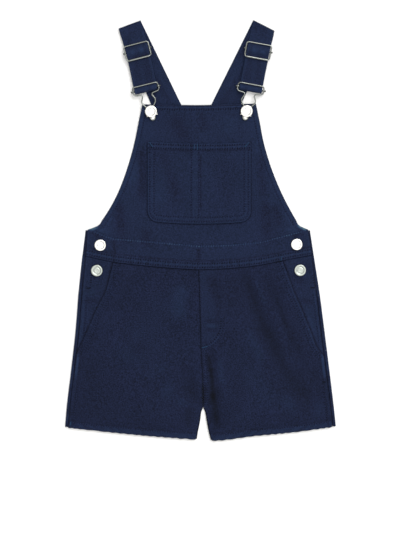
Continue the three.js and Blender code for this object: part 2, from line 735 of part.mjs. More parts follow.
// One strap: flat from the back bib, over the shoulder crease, through the slide, round the hook's bar
function strapPath(strap) {
  const line = strapLine(strap);
  const half = STRAP_CLOTH / 2;
  const foot = new THREE.Vector2((strap.foot.inner + strap.foot.outer) / 2, strap.foot.y);
  const footHalf = new THREE.Vector2((strap.foot.inner - strap.foot.outer) / 2, 0);
  const creaseHalf = new THREE.Vector2(
    (strap.creaseInner.x - strap.creaseOuter.x) / 2,
    (strap.creaseInner.y - strap.creaseOuter.y) / 2,
  );
  const inward = Math.sign(footHalf.x);
  const tilt = THREE.MathUtils.degToRad(strap.slide.tilt);
  const hookTilt = THREE.MathUtils.degToRad(strap.hook.tilt);
  const frontHalf = new THREE.Vector2(Math.cos(tilt), Math.sin(tilt)).multiplyScalar(inward * STRAP_HALF);
  const hookHalf = new THREE.Vector2(Math.cos(hookTilt), Math.sin(hookTilt));
  hookHalf.multiplyScalar(inward * STRAP_HALF);
  const stations = [];
  const add = (place, z, halfWidth) => {
    stations.push({
      middle: new THREE.Vector3(place.x, place.y, z),
      half: new THREE.Vector3(halfWidth.x, halfWidth.y, 0),
    });
  };
  const foldRadius = (STRAP_LAY[0].z - half) / 2;
  const beyond = new THREE.Vector2(-creaseHalf.y, creaseHalf.x).multiplyScalar(inward).normalize();
  const foldCentre = line.crease.clone().addScaledVector(beyond, -(foldRadius + half));
  for (const share of shares(6)) {
    add(foot.clone().lerp(foldCentre, share), half, footHalf.clone().lerp(creaseHalf, share));
  }
  for (const share of shares(5).slice(1)) {
    const angle = share * Math.PI;
    const place = foldCentre.clone().addScaledVector(beyond, foldRadius * Math.sin(angle));
    add(place, half + foldRadius * (1 - Math.cos(angle)), creaseHalf);
  }
  for (const row of STRAP_LAY) {
    const at = line.upper + row.past;
    const share = ease(at / (line.upper + STRAP_LAY[3].past));
    const toHook = ease(row.past / (line.length - line.upper));
    add(line.at(at), row.z, creaseHalf.clone().lerp(frontHalf, share).lerp(hookHalf, toHook));
  }
  const loopRadius = HOOK.bar + SEAM_GAP + half + 0.1;
  const alongBar = (up) => line.cross.clone().addScaledVector(line.hookUp, up);
  for (const row of STRAP_OVER_HOOK) add(alongBar(row.up), row.z, hookHalf);
  add(alongBar(0), HOOK.crossZ + loopRadius, hookHalf);
  for (const share of shares(6)) {
    const angle = share * Math.PI;
    const up = -1.2 - loopRadius * Math.sin(angle);
    add(alongBar(up), HOOK.crossZ + loopRadius * Math.cos(angle), hookHalf);
  }
  const returnZ = STRAP_LAYER + half + 0.05;
  add(alongBar(2), HOOK.crossZ - loopRadius, hookHalf);
  add(alongBar(8), returnZ, hookHalf);
  add(line.at(line.upper + 23), returnZ, hookHalf);
  add(line.at(line.upper + 8), returnZ, frontHalf);
  add(line.at(line.upper), 3, frontHalf);
  return stations;
}

function strapGeometry(stations) {
  const rings = stations.map(({ middle, half }, i) => {
    const before = stations[Math.max(i - 1, 0)].middle;
    const after = stations[Math.min(i + 1, stations.length - 1)].middle;
    const ahead = after.clone().sub(before).normalize();
    const out = half.clone().cross(ahead).normalize();
    out.multiplyScalar(STRAP_CLOTH / 2);
    return [
      middle.clone().add(half).add(out),
      middle.clone().sub(half).add(out),
      middle.clone().sub(half).sub(out),
      middle.clone().add(half).sub(out),
    ];
  });
  const positions = rings.flat().flatMap((corner) => corner.toArray());
  const index = [];
  for (let i = 0; i + 1 < rings.length; i += 1) {
    for (let k = 0; k < 4; k += 1) {
      const a = i * 4 + k;
      const b = i * 4 + ((k + 1) % 4);
      index.push(a, b, b + 4, a, b + 4, a + 4);
    }
  }
  const last = (rings.length - 1) * 4;
  index.push(0, 2, 1, 0, 3, 2);
  index.push(last, last + 1, last + 2, last, last + 2, last + 3);
  const geometry = new THREE.BufferGeometry();
  geometry.setAttribute("position", new THREE.Float32BufferAttribute(positions, 3));
  geometry.setIndex(index);
  return outward(geometry);
}

// Turns every face over if the body's faces point inwards
function outward(geometry) {
  const p = geometry.attributes.position;
  const corner = [new THREE.Vector3(), new THREE.Vector3(), new THREE.Vector3()];
  const index = Array.from(geometry.index.array);
  let volume = 0;
  for (let i = 0; i < index.length; i += 3) {
    corner.forEach((point, k) => point.fromBufferAttribute(p, index[i + k]));
    volume += corner[0].dot(corner[1].clone().cross(corner[2]));
  }
  if (volume < 0) {
    for (let i = 0; i < index.length; i += 3) [index[i + 1], index[i + 2]] = [index[i + 2], index[i + 1]];
    geometry.setIndex(index);
  }
  return geometry;
}

// A bar along X with a round knob at each end, turned in one profile
function knobbedBar(radius, knob, reach) {
  const profile = [
    [0, -reach],
    [knob * 0.7, -reach],
    [knob, -reach + knob * 0.5],
    [knob, -reach + knob * 1.3],
    [radius, -reach + knob * 1.7],
    [radius, reach - knob * 1.7],
    [knob, reach - knob * 1.3],
    [knob, reach - knob * 0.5],
    [knob * 0.7, reach],
    [0, reach],
  ];
  const bar = new THREE.LatheGeometry(profile.map(([x, y]) => new THREE.Vector2(x, y)), 8);
  return bar.rotateZ(-Math.PI / 2);
}

function slideFrame() {
  const flat = WIRE * 0.5;
  const outlineRing = (grow) => {
    const w = SLIDE.width / 2 + grow;
    const h = SLIDE.height / 2 + grow;
    const r = SLIDE.corner + grow;
    const path = new THREE.Path();
    path.moveTo(-w + r, -h);
    path.lineTo(w - r, -h);
    path.absarc(w - r, -h + r, r, -Math.PI / 2, 0);
    path.lineTo(w, h - r);
    path.absarc(w - r, h - r, r, 0, Math.PI / 2);
    path.lineTo(-w + r, h);
    path.absarc(-w + r, h - r, r, Math.PI / 2, Math.PI);
    path.lineTo(-w, -h + r);
    path.absarc(-w + r, -h + r, r, Math.PI, Math.PI * 1.5);
    return path.getPoints(2);
  };
  const shape = new THREE.Shape(outlineRing(flat));
  shape.holes.push(new THREE.Path(outlineRing(-flat)));
  const frame = new THREE.ExtrudeGeometry(shape, {
    depth: flat * 2,
    bevelEnabled: true,
    bevelThickness: WIRE - flat,
    bevelSize: WIRE - flat,
    bevelSegments: 1,
  });
  return frame.translate(0, 0, SLIDE.z - flat);
}

function slide(strap) {
  const centreBar = knobbedBar(SLIDE.bar, SLIDE.knob, SLIDE.knobReach);
  centreBar.translate(0, SLIDE.barAbove, SLIDE.barZ);
  const thickBar = new THREE.CylinderGeometry(SLIDE.lowerBar, SLIDE.lowerBar, SLIDE.width - 5, 8);
  thickBar.rotateZ(Math.PI / 2);
  thickBar.translate(0, -SLIDE.height / 2, SLIDE.z);
  const mesh = addPiece(`slide_${strap.side}`, union([slideFrame(), thickBar, centreBar]), STEEL);
  mesh.position.set(strap.slide.x, strap.slide.y, 0);
  mesh.rotation.z = THREE.MathUtils.degToRad(strap.slide.tilt);
}

// A closed loop of wire through the given points
function wireLoop(points, steps, radius, sides) {
  const curve = new THREE.CatmullRomCurve3(points, true, "centripetal");
  const frames = curve.computeFrenetFrames(steps, true);
  const positions = [];
  const index = [];
  for (let i = 0; i < steps; i += 1) {
    const centre = curve.getPointAt(i / steps);
    for (let k = 0; k < sides; k += 1) {
      const angle = ((k + 0.5) / sides) * Math.PI * 2;
      const point = centre.clone().addScaledVector(frames.normals[i], radius * Math.cos(angle));
      point.addScaledVector(frames.binormals[i], radius * Math.sin(angle));
      positions.push(...point.toArray());
      const next = (i + 1) % steps;
      const a = i * sides + k;
      const b = i * sides + ((k + 1) % sides);
      const c = next * sides + ((k + 1) % sides);
      const d = next * sides + k;
      index.push(a, b, c, a, c, d);
    }
  }
  const geometry = new THREE.BufferGeometry();
  geometry.setAttribute("position", new THREE.Float32BufferAttribute(positions, 3));
  geometry.setIndex(index);
  return outward(geometry);
}

// The hook: wire loop, cross bar with collars, tongue plate at the foot and two short lugs
function hook(strap) {
  const right = HOOK_WIRE.map(({ across, up, z }) => new THREE.Vector3(across, up, z));
  const foot = new THREE.Vector3(0, -HOOK.foot, HOOK.neckZ);
  const left = HOOK_WIRE.slice(1).reverse().map(({ across, up, z }) => new THREE.Vector3(-across, up, z));
  const wire = wireLoop([...right, foot, ...left], 64, WIRE, 6);
  const bar = knobbedBar(HOOK.bar, HOOK.knob, HOOK.knobReach).translate(0, HOOK.crossBar, HOOK.crossZ);
  const parts = [wire, bar];
  for (const sign of [-1, 1]) {
    const collar = new THREE.CylinderGeometry(WIRE * 1.9, WIRE * 1.9, WIRE * 2.2, 8);
    collar.rotateZ(Math.PI / 2);
    collar.translate(sign * HOOK.reach, HOOK.crossBar, HOOK.crossZ);
    const lug = new THREE.CylinderGeometry(WIRE * 1.25, WIRE * 1.1, 5, 6);
    lug.rotateZ(-sign * Math.PI * 0.62);
    lug.translate(sign * 5.2, -5.6, HOOK.neckZ);
    parts.push(collar, lug);
  }
  const tongue = new THREE.CylinderGeometry(HOOK.footHalf, HOOK.footHalf, 1.1, 12);
  tongue.rotateX(Math.PI / 2);
  tongue.translate(0, -8.6, HOOK.neckZ);
  parts.push(tongue);
  const mesh = addPiece(`hook_${strap.side}`, union(parts), STEEL);
  mesh.position.set(strap.hook.x, strap.hook.y, 0);
  mesh.rotation.z = THREE.MathUtils.degToRad(strap.hook.tilt);
}

// A turned metal button: foot, neck, and a head with a raised rim, a recess and a low dome
function buttonGeometry(radius, footRadius, footZ, headZ) {
  const topZ = headZ + HEAD_THICK;
  const profile = [
    [0, footZ],
    [footRadius, footZ],
    [footRadius, headZ],
    [radius * 0.86, headZ],
    [radius, headZ + 0.6],
    [radius, topZ - 0.7],
    [radius * 0.88, topZ],
    [radius * 0.72, topZ - 0.2],
    [radius * 0.6, topZ - 0.8],
    [radius * 0.42, topZ - 0.6],
    [0, topZ - 0.1],
  ];
  const points = profile.map(([x, y]) => new THREE.Vector2(x, y));
  return new THREE.LatheGeometry(points, 16).rotateX(Math.PI / 2);
}

function bibButton(strap) {
  const footZ = bibUpper(strap.hook.x, strap.hook.y) + SEAM_GAP + 0.1;
  const headZ = HOOK.neckZ + WIRE + SEAM_GAP;
  const geometry = buttonGeometry(HEAD_RADIUS, NECK_RADIUS, footZ, headZ);
  const mesh = addPiece(`bib_button_${strap.side}`, geometry, STEEL);
  mesh.position.set(strap.hook.x, strap.hook.y, 0);
}

function sideButton(row) {
  const onBib = row.y > waistY(row.x);
  const cloth = onBib ? bibUpper(row.x, row.y) : frontLift(row.x, row.y) + CLOTH;
  const footZ = cloth + SEAM_GAP + 0.1;
  const geometry = buttonGeometry(SIDE_HEAD_RADIUS, SIDE_FOOT_RADIUS, footZ, footZ + 0.9);
  const mesh = addPiece(row.name, geometry, STEEL);
  mesh.position.set(row.x, row.y, 0);
}

for (const side of ["left", "right"]) {
  backPanel(side);
  frontPanel(side);
  hipPiece(side);
}
backBib();
bib();
bibPocket();
for (const strap of STRAPS) {
  addPiece(`strap_${strap.side}`, strapGeometry(strapPath(strap)), DENIM);
  slide(strap);
  hook(strap);
  bibButton(strap);
}
SIDE_BUTTONS.forEach(sideButton);

export default garment;
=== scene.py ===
# Navy denim dungaree shorts for a child, laid flat with the front up: cloth, sewing and metal parts
import math

import bpy
import numpy as np
from bpy.props import FloatProperty, FloatVectorProperty, PointerProperty
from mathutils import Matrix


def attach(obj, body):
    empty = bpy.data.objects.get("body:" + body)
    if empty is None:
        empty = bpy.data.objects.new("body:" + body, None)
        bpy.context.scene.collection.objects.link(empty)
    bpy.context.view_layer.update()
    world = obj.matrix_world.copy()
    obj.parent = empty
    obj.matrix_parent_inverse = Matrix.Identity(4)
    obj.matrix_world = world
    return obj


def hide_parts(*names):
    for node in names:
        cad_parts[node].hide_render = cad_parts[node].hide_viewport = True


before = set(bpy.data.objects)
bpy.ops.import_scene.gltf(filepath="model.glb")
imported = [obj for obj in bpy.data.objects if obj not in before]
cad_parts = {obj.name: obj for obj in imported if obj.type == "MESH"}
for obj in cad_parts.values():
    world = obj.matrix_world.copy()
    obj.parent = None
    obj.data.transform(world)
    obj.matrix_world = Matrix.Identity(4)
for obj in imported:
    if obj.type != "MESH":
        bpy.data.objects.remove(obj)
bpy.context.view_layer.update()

bl_info = {
    "name": "Denim dungaree shorts",
    "version": (1, 0, 0),
    "blender": (4, 5, 0),
    "location": "3D View > Sidebar > Dungarees",
    "description": "Dresses the solids of a pair of dungaree shorts with sewn denim and nickel-plated parts",
    "category": "Object",
}

# Lengths and places are in millimetres, and MM turns them into Blender's metres
MM = 0.001
SIDES = ("left", "right")
INWARD = {"left": 1, "right": -1}

# Cloth walls and the gaps between them
CLOTH = 1.2
STRAP_CLOTH = 1.4
SEAM_GAP = 0.3
LAYER = CLOTH + SEAM_GAP
STRAP_LAYER = STRAP_CLOTH + SEAM_GAP
CENTRE_GAP = 0.02
BACK_GAP = 0.02
STEP_RUN = 0.7
EDGE_ROUND = 0.7
EDGE_DROP = 0.45

# Hems and folds that stand proud of the panel: depth from the edge, and extra thickness
HEM = {"depth": 9, "extra": 0.7}
BIB_HEM = {"depth": 7.2, "extra": 0.5}
POCKET_HEM = {"depth": 8.4, "extra": 0.6}
WAIST_FOLD = {"depth": 10, "extra": 0.8}
FLY = {"width": 30, "foot_y": -151.5, "extra": 0.7, "ridge_width": 7, "ridge": 0.5}

# The back's cloth turns up round the side seams and shows beside the front
LEG_RIM = 1.0
RIM_TOP = LAYER + CLOTH
RIM_START_Y = -78
HEM_TUCK = 0.8

# Air under the front, and the fades towards its edges
AIR = 3.0
BIB_AIR = {"share": 0.3, "start_y": -62, "run": 60}
STRAPS_UNDER_BIB = {"start_y": 92, "run": 24, "extra": 0.1}
DROOP = {"depth": 1.1, "width": 24, "start_y": 3, "start_run": 18, "end_y": 116, "end_run": 16}
AIR_FADE = {"side": 50, "hem": 34, "legs": 15}
FOLD_FADE = {"side": 20, "hem": 16}
POCKET_TUCK = {"reach": 10, "start": 14, "run": 10}
POCKET_RISE = {"beyond": 4, "run": 22, "waist_run": 9, "foot_above": 16, "foot_run": 15}
POCKET_FOOT_Y = -166
HIP_FOOT_Y = -172
BACK_WAIST_Y = -33

# Outer side edges of the shorts
SIDE = {
    "y": (1, -38, -77, -129, -181, -233, -256),
    "left": (-149.2, -154.1, -158.1, -162.2, -168.0, -174.1, -176.0),
    "right": (142.1, 148.1, 154.1, 160.9, 167.4, 173.6, 176.0),
}
# Armhole edges of the bib, from the side corner up to the top corner
ARMHOLE = {
    "y": (1, 6, 14, 27, 45, 66, 92, 118, 144, 164),
    "left": (-147.2, -134.0, -127.6, -119.0, -109.2, -100.4, -91.8, -85.0, -79.7, -75.5),
    "right": (140.4, 129.3, 124.0, 116.5, 107.2, 97.9, 88.5, 81.3, 76.3, 72.0),
}
BIB_TOP = {"x": (-75.5, 0, 72), "y": (163.9, 162.9, 164.9)}
# Width of the back that shows beside the front, from the side corner down to the hem
SIDE_RIM = {"y": (1, -33, -78, -256), "left": (1.7, 4.0, 4.3, 4.0), "right": (1.7, 2.5, 3.9, 4.0)}
# Waist seam, where the lower edge of the bib meets the shorts
WAIST = {
    "x": (-152, -112.5, -78.7, -33.2, -2.3, 46.2, 76.1, 106, 148),
    "y": (-32.8, -41.1, -45.2, -49.3, -50.9, -48.6, -45.2, -39.2, -31.6),
}
HEM_LINE = {
    "x": (-176, -118.7, -67.2, -5.2, 13.7, 68.5, 123.6, 176),
    "y": (-255.5, -261.7, -266.7, -271.4, -272.7, -266.9, -261.5, -254.3),
}
# Centre seam down to the crotch, and the inner edges of the legs below it
CENTRE = {"y": (-50.9, -114.8, -153.8, -195.4, -229.8), "x": (-2.3, -0.3, 0.8, 3.0, 3.3)}
CROTCH = (3.3, -229.8)
INNER_LEG = {
    "y": (-229.8, -234, -246, -259, -272.7),
    "left": (3.1, 1.4, -0.4, -3.0, -5.2),
    "right": (3.5, 5.5, 7.9, 10.3, 13.7),
}
# Slanted pocket openings of the shorts
SLASH = {
    "y": (-40.5, -58, -78, -103, -132.5, -152, -166),
    "left": (-112.9, -117.2, -122.6, -135.1, -147.9, -157.0, -163.7),
    "right": (107.0, 113.4, 120.8, 131.6, 143.6, 151.6, 162.5),
}
BACK_BIB = {
    "y": (-33, 0.9, -3, -5, 8, 32, 62, 95, 128.3),
    "left": (-153.4, -149.2, -140, -115, -95, -80, -67, -57, -48.5),
    "right": (147.3, 142.1, 133, 107, 87, 71, 58, 46.5, 36.4),
}
BIB_POCKET = {
    "left": -68.6, "right": 65.0, "corner": 13,
    "top": (115.1, 112.6, 114.5), "bottom": (12.6, 8.7, 12.0),
}

# Folds of the front, each a soft trough (height below 0) or ridge along a line: x1, y1, x2, y2, width, height
MAIN_FOLDS = (
    (14, -165, 21, -250, 8, -1.7),
    (55, -62, 82, -128, 12, -1.4),
    (82, -128, 136, -222, 15, -1.4),
    (93, -80, 128, -165, 9, -0.8),
    (104, -128, 118, -160, 12, 0.7),
    (46, -170, 52, -240, 18, 0.8),
    (15, -68, 26, -98, 9, -0.7),
    (-20, -185, -9, -212, 10, -1.0),
    (-14, -228, -16, -252, 8, -0.8),
    (-62, -95, -72, -160, 20, 0.8),
    (-120, -190, -104, -240, 18, -0.8),
    (-34, 140, -20, 118, 14, -0.6),
    (-54, 96, -36, 42, 15, -0.6),
    (30, 84, 36, 40, 17, -0.5),
    (-104, 8, -102, -14, 10, -0.6),
    (84, 22, 88, -8, 11, -0.7),
)
# Smaller creases, with ends that run out into the cloth
CREASES = (
    (4, -117, 27, -119, 2.6, -0.45),
    (4, -128, 24, -129, 2.4, -0.4),
    (5, -123, 26, -124, 3.0, 0.35),
    (1, -226, -26, -196, 4.5, -0.5),
    (6, -224, 30, -204, 4.0, -0.5),
    (0, -228, -38, -220, 5.0, 0.35),
    (12, -150, 19, -176, 3.2, -0.55),
    (22, -160, 27, -205, 5.0, 0.4),
    (66, -56, 86, -104, 5.0, 0.4),
    (78, -60, 96, -92, 4.0, -0.35),
    (100, -150, 132, -205, 6.0, 0.45),
    (112, -170, 148, -228, 7.0, -0.4),
    (60, -120, 84, -176, 8.0, 0.4),
    (40, -74, 52, -118, 6.0, -0.3),
    (-48, -176, -62, -226, 9.0, -0.35),
    (-84, -120, -96, -176, 11.0, 0.35),
    (-132, -150, -146, -214, 8.0, -0.35),
    (-90, -62, -112, -112, 7.0, -0.3),
    (136, -92, 150, -150, 6.0, 0.3),
    (148, -176, 156, -226, 5.0, -0.3),
    (-156, -91, -128, -92, 2.4, -0.45),
    (-150, -84, -134, -77, 3.0, 0.3),
    (128, -91, 147, -93, 2.4, -0.45),
    (112, -56, 136, -70, 3.4, -0.45),
    (120, -48, 146, -62, 3.0, 0.35),
    (-112.5, -12, -111, -38, 2.2, -0.35),
    (-2.6, -18, -2.4, -46, 2.4, -0.35),
    (-70, 6, -72, -26, 7.0, -0.3),
    (-78, 118, -76, 30, 6.0, -0.4),
    (76, 110, 84, 34, 7.0, -0.35),
    (-104, 40, -107, -2, 6.0, -0.35),
    (96, 40, 104, 2, 6.0, -0.35),
    (-142, -2, -124, -10, 3.2, -0.5),
    (-138, 0, -114, -2, 3.0, 0.35),
    (136, -3, 118, -9, 3.2, -0.45),
    (126, 2, 108, 0, 3.4, 0.3),
    (0, 150, 6, 126, 8.0, -0.25),
    (40, 152, 34, 122, 9.0, 0.25),
)
# Painted shade along the bottoms of folds (below 0), and a few paler patches (above 0): the tone takes the
# place of the height
SHADES = (
    (8.6, -158, 14.4, -188, 3.4, -0.55),
    (13.4, -174, 17.2, -226, 3.8, -0.55),
    (15.6, -206, 22.5, -262, 4.4, -0.5),
    (5, -196, 4.2, -229, 2.6, -0.5),
    (54, -44, 84, -132, 6.5, -0.24),
    (76, -108, 118, -194, 7.5, -0.3),
    (104, -168, 148, -248, 8, -0.2),
    (86, -48, 124, -160, 3, -0.2),
    (100, -96, 136, -172, 4, -0.14),
    (12.5, -54, 23.5, -92, 4.6, -0.24),
    (-14, -186, -6, -214, 4, -0.2),
    (-13, -226, -16, -256, 5, -0.2),
    (-170, -212, -120, -262, 26, -0.1),
    (-50, 106, -28, 34, 6.5, -0.08),
    (-36, 150, -18, 116, 6, -0.12),
    (-106, 44, -102, -12, 4, -0.12),
    (-76, 116, -74, 34, 4, -0.1),
    (84, 44, 86, -12, 4.5, -0.12),
    (-2.6, -14, -2.4, -50, 1.8, -0.2),
    (-112.5, -10, -111.5, -42, 1.6, -0.26),
    (1, 156, 2, 142, 1.5, -0.14),
    (60, -170, 96, -236, 14, 0.06),
    (-24, -62, -30, -122, 11, 0.14),
    (-100, -122, -80, -166, 12, -0.1),
    (-60, -170, -42, -226, 12, 0.12),
    (46, -176, 50, -240, 8, -0.08),
    (96, -214, 168, -236, 14, 0.12),
    (-38, 100, -60, 24, 14, 0.08),
    (-80, 96, -88, 56, 8, 0.08),
)
# Soft creases of the hidden back, which lies flat and shows them only a little
BACK_CREASES = (
    (-150, -110, -90, -150, 9, 0.25),
    (-110, -180, -30, -215, 10, 0.3),
    (40, -120, 90, -190, 11, 0.3),
    (110, -210, 160, -170, 8, 0.25),
    (-60, -70, -20, -120, 9, 0.2),
)

# Straps: both edges at the back bib, both ends of the shoulder crease, and the places of the metal parts
STRAPS = {
    "left": {
        "foot": ((-7.9, 128.3), (-48.5, 128.3)),
        "crease": ((-77.8, 273.2), (-106.6, 262.5)),
        "slide": (-81.8, 232.5, 14.5),
        "hook": (-64.1, 155.4, 14),
    },
    "right": {
        "foot": ((-3.6, 128.3), (36.4, 128.3)),
        "crease": ((68.7, 273.5), (96.4, 259.4)),
        "slide": (74.8, 232.8, -10.3),
        "hook": (59.8, 155.7, -10.8),
    },
}
STRAP_HALF = 14.8
# Height of the strap's middle at each distance past the middle of the slide
STRAP_LAY = {
    "past": (-27, -19, -14, -9.5, -6, -3.5, -1, 1.5, 5, 9.5, 15, 25, 35),
    "z": (2.85, 3.0, 3.3, 4.05, 5.4, 6.55, 6.95, 6.6, 5.2, 4.15, 4.15, 4.15, 4.15),
}
STRAP_OVER_HOOK = ((7, 4.4), (4.2, 5.0), (2.2, 6.2))

# Metal parts
WIRE = 0.86
SLIDE = {
    "width": 32.4, "height": 19.2, "corner": 3, "z": 6.3, "lower_bar": 1.3,
    "bar": 0.9, "bar_above": 1, "bar_z": 5, "knob": 1.3, "knob_reach": 18.9,
}
HOOK = {
    "cross_bar": 29, "cross_z": 4.7, "neck_z": 4.95, "bar": 1.1, "reach": 16.9,
    "knob": 1.35, "knob_reach": 20, "foot": 12.1,
}
# One half of the hook's wire, from the middle of the top bar to the foot: across, up, z
HOOK_WIRE = (
    (0, 34.3, 7.2), (7, 34.3, 7.2), (14.2, 34.2, 7.2), (16.5, 32.4, 6.4), (17.1, 29, 4.7),
    (16.9, 25.9, 4.8), (15, 23.7, 4.95), (11.2, 23, 4.95), (7.7, 22.3, 4.95), (6.4, 20.3, 4.95),
    (7.7, 17, 4.95), (9.1, 13.3, 4.95), (8, 9.8, 4.95), (5, 5.9, 4.95), (3.4, 1.8, 4.95),
    (3.3, -3, 4.95), (3.3, -8, 4.95), (2.3, -11, 4.95),
)
# Half section of the hook's pressed tongue: radius, z
TONGUE = ((0, -0.75), (2.6, -0.75), (3.1, -0.45), (3.3, 0), (3.1, 0.45), (2.5, 0.78), (1.2, 0.92), (0, 0.95))
# Depth of the ring pressed into a button's face
DIP = {"bright": 0.2, "painted_dim": 0.5}
# Half section of a button, as shares of its radius: the rim's foot and its rise above the head's base,
# the rim's turn and its fall below the top, and the face and its share of the dip
RIM_FOOT = ((0.86, 0), (0.95, 0.1), (0.99, 0.4), (1, 0.75))
RIM_TOP_TURN = ((1, 0.75), (0.99, 0.4), (0.965, 0.12), (0.93, 0), (0.86, -0.02), (0.78, 0), (0.7, 0.06))
BUTTON_FACE = (
    (0.66, 0.3), (0.61, 0.8), (0.56, 1), (0.51, 0.85), (0.46, 0.5),
    (0.4, 0.42), (0.33, 0.4), (0.27, 0.6), (0.2, 0.62), (0.1, 0.55), (0, 0.53),
)
BIB_BUTTON = {"radius": 7.8, "drop": 1.1, "neck": 2.0, "thick": 2.0}
SIDE_BUTTON = {"radius": 7.45, "neck": 3.4, "thick": 2.0, "foot": 0.9}
SIDE_BUTTONS = {
    "side_button_upper_left": (-130, -19),
    "side_button_lower_left": (-134.4, -51.9),
    "side_button_upper_right": (124.8, -18),
    "side_button_lower_right": (129.2, -51.5),
}

# The bib and the hip pieces are a little paler than the shorts' fronts
BIB_PALENESS = 0.09
HIP_PALENESS = 0.06

# Sewing: insets of the stitched rows from their edges
TWIN = {"waist": (3.0, 7.9), "pocket": (2.8, 8.2), "mouth": (2.4, 7.2), "slash": (3.6, 7.9)}
GROOVE = {"width": 1.0, "depth": 0.2}
PIT = {"width": 0.8, "depth": 0.25}


def linear(code):
    """The linear colour of an sRGB hex value."""
    values = [int(code[i:i + 2], 16) / 255 for i in (1, 3, 5)]
    return tuple(v / 12.92 if v <= 0.04045 else ((v + 0.055) / 1.055) ** 2.4 for v in values)


def ease(value):
    """A smooth step from 0 to 1."""
    t = np.clip(value, 0, 1)
    return t * t * (3 - 2 * t)


def bell(value, width):
    """A soft hump that is 1 at value 0 and fades over the width."""
    return np.exp(-((value / width) ** 2))


def lerp(a, b, share):
    return a + (b - a) * share


def sample(table, key, column, at):
    """A column of a table at any value of its key column, on a smooth curve through the rows."""
    xs = np.array(table[key], float)
    ys = np.array(table[column], float)
    if xs[0] > xs[-1]:
        xs, ys = xs[::-1], ys[::-1]
    slopes = np.gradient(ys, xs)
    at = np.clip(np.asarray(at, float), xs[0], xs[-1])
    i = np.clip(np.searchsorted(xs, at) - 1, 0, len(xs) - 2)
    run = xs[i + 1] - xs[i]
    t = (at - xs[i]) / run
    rise = t * t * (3 - 2 * t)
    start = run * slopes[i] * t * (1 - t) ** 2
    end = run * slopes[i + 1] * t * t * (t - 1)
    return lerp(ys[i], ys[i + 1], rise) + start + end


def mottle(x, y, size, seed):
    """Smooth noise from -1 to 1 with blotches of about the given size."""
    cells = np.random.default_rng(seed).uniform(-1, 1, (97, 97))
    gx, gy = np.asarray(x) / size + 500, np.asarray(y) / size + 500
    ix, iy = np.floor(gx).astype(int), np.floor(gy).astype(int)
    fx, fy = ease(gx - ix), ease(gy - iy)
    corner = [cells[(ix + a) % 97, (iy + b) % 97] for a in (0, 1) for b in (0, 1)]
    return lerp(lerp(corner[0], corner[1], fy), lerp(corner[2], corner[3], fy), fx)


def outline_x(side, y):
    """The garment's outer edge seen from above."""
    y = np.asarray(y, float)
    above = sample(ARMHOLE, "y", side, y)
    return np.where(y > ARMHOLE["y"][0], above, sample(SIDE, "y", side, y))


def waist_y(x):
    return sample(WAIST, "x", "y", x)


def hem_y(x):
    """The hem edge, with the small waves that a narrow twisted hem has."""
    x = np.asarray(x, float)
    wave = 0.55 * np.sin(x / 1.7 + 4 * mottle(x, 0, 30, 5)) * (0.35 + 0.65 * np.abs(mottle(x, 9, 26, 6)))
    return sample(HEM_LINE, "x", "y", x) + wave


def side_rim(side, y):
    return sample(SIDE_RIM, "y", side, y)


def leg_gap(x, y):
    """How far a point lies from the gap between the legs."""
    left = sample(INNER_LEG, "y", "left", y)
    right = sample(INNER_LEG, "y", "right", y)
    below = np.maximum(np.maximum(left - x, x - right), 0)
    return np.where(y >= CROTCH[1], np.hypot(x - CROTCH[0], y - CROTCH[1]), below)


def fold_height(x, y, folds, tapered=False):
    """The sum of soft troughs and ridges along straight lines."""
    height = np.zeros_like(x)
    for x1, y1, x2, y2, width, depth in folds:
        run = np.array([x2 - x1, y2 - y1], float)
        share = ((x - x1) * run[0] + (y - y1) * run[1]) / (run @ run)
        inside = np.clip(share, 0, 1)
        away = np.hypot(x - x1 - inside * run[0], y - y1 - inside * run[1]) / width
        runs_out = 1.0
        if tapered:
            runs_out = ease(share / 0.3) * ease((1 - share) / 0.3)
        height += depth * np.exp(-away * away) * runs_out
    return height


def slash_x(side, y):
    """The front panel's outer edge: the slanted opening, then the side seam below it."""
    sign = INWARD[side]
    seam = sign * outline_x(side, y) + side_rim(side, y) + SEAM_GAP
    return sign * np.where(y < POCKET_FOOT_Y, seam, np.maximum(sign * sample(SLASH, "y", side, y), seam))


def slash_top(side):
    """Height on the picture where the slanted opening meets the waist seam."""
    return float(waist_y(SLASH[side][0]))


def front_lift(x, y):
    """Underside of the front cloth above the surface, before a pocket lifts it."""
    edge = np.minimum(x - outline_x("left", y), outline_x("right", y) - x)
    hem = y - hem_y(x)
    share = lerp(1, BIB_AIR["share"], ease((y - BIB_AIR["start_y"]) / BIB_AIR["run"]))
    near = ease(edge / AIR_FADE["side"]) * ease(hem / AIR_FADE["hem"])
    near = near * ease(leg_gap(x, y) / AIR_FADE["legs"])
    fade = ease(edge / FOLD_FADE["side"]) * ease(hem / FOLD_FADE["hem"])
    folds = fold_height(x, y, MAIN_FOLDS) * fade
    strap_rise = STRAP_LAYER - LAYER + STRAPS_UNDER_BIB["extra"]
    lowest = LAYER + strap_rise * ease((y - STRAPS_UNDER_BIB["start_y"]) / STRAPS_UNDER_BIB["run"])
    below_straps = 1 - ease((y - DROOP["end_y"]) / DROOP["end_run"])
    along_armhole = ease((y - DROOP["start_y"]) / DROOP["start_run"]) * below_straps
    droop = DROOP["depth"] * (1 - ease(edge / DROOP["width"])) * along_armhole
    return np.maximum(lowest + AIR * share * near + folds, lowest) - droop


def crumple(x, y):
    """Small creases and the unevenness of washed cloth, above and below the main form."""
    scene = bpy.context.scene
    depth = scene.dungarees_cloth.crease_depth
    edge = np.minimum(x - outline_x("left", y), outline_x("right", y) - x)
    fade = ease(edge / 9) * ease((y - hem_y(x)) / 12)
    uneven = 0.08 * mottle(x, y, 19, 11) + 0.06 * mottle(x, y, 8, 12) + 0.14 * mottle(x, y, 46, 13)
    return depth * (fold_height(x, y, CREASES, tapered=True) * (0.25 + 0.75 * fade) + uneven * fade)


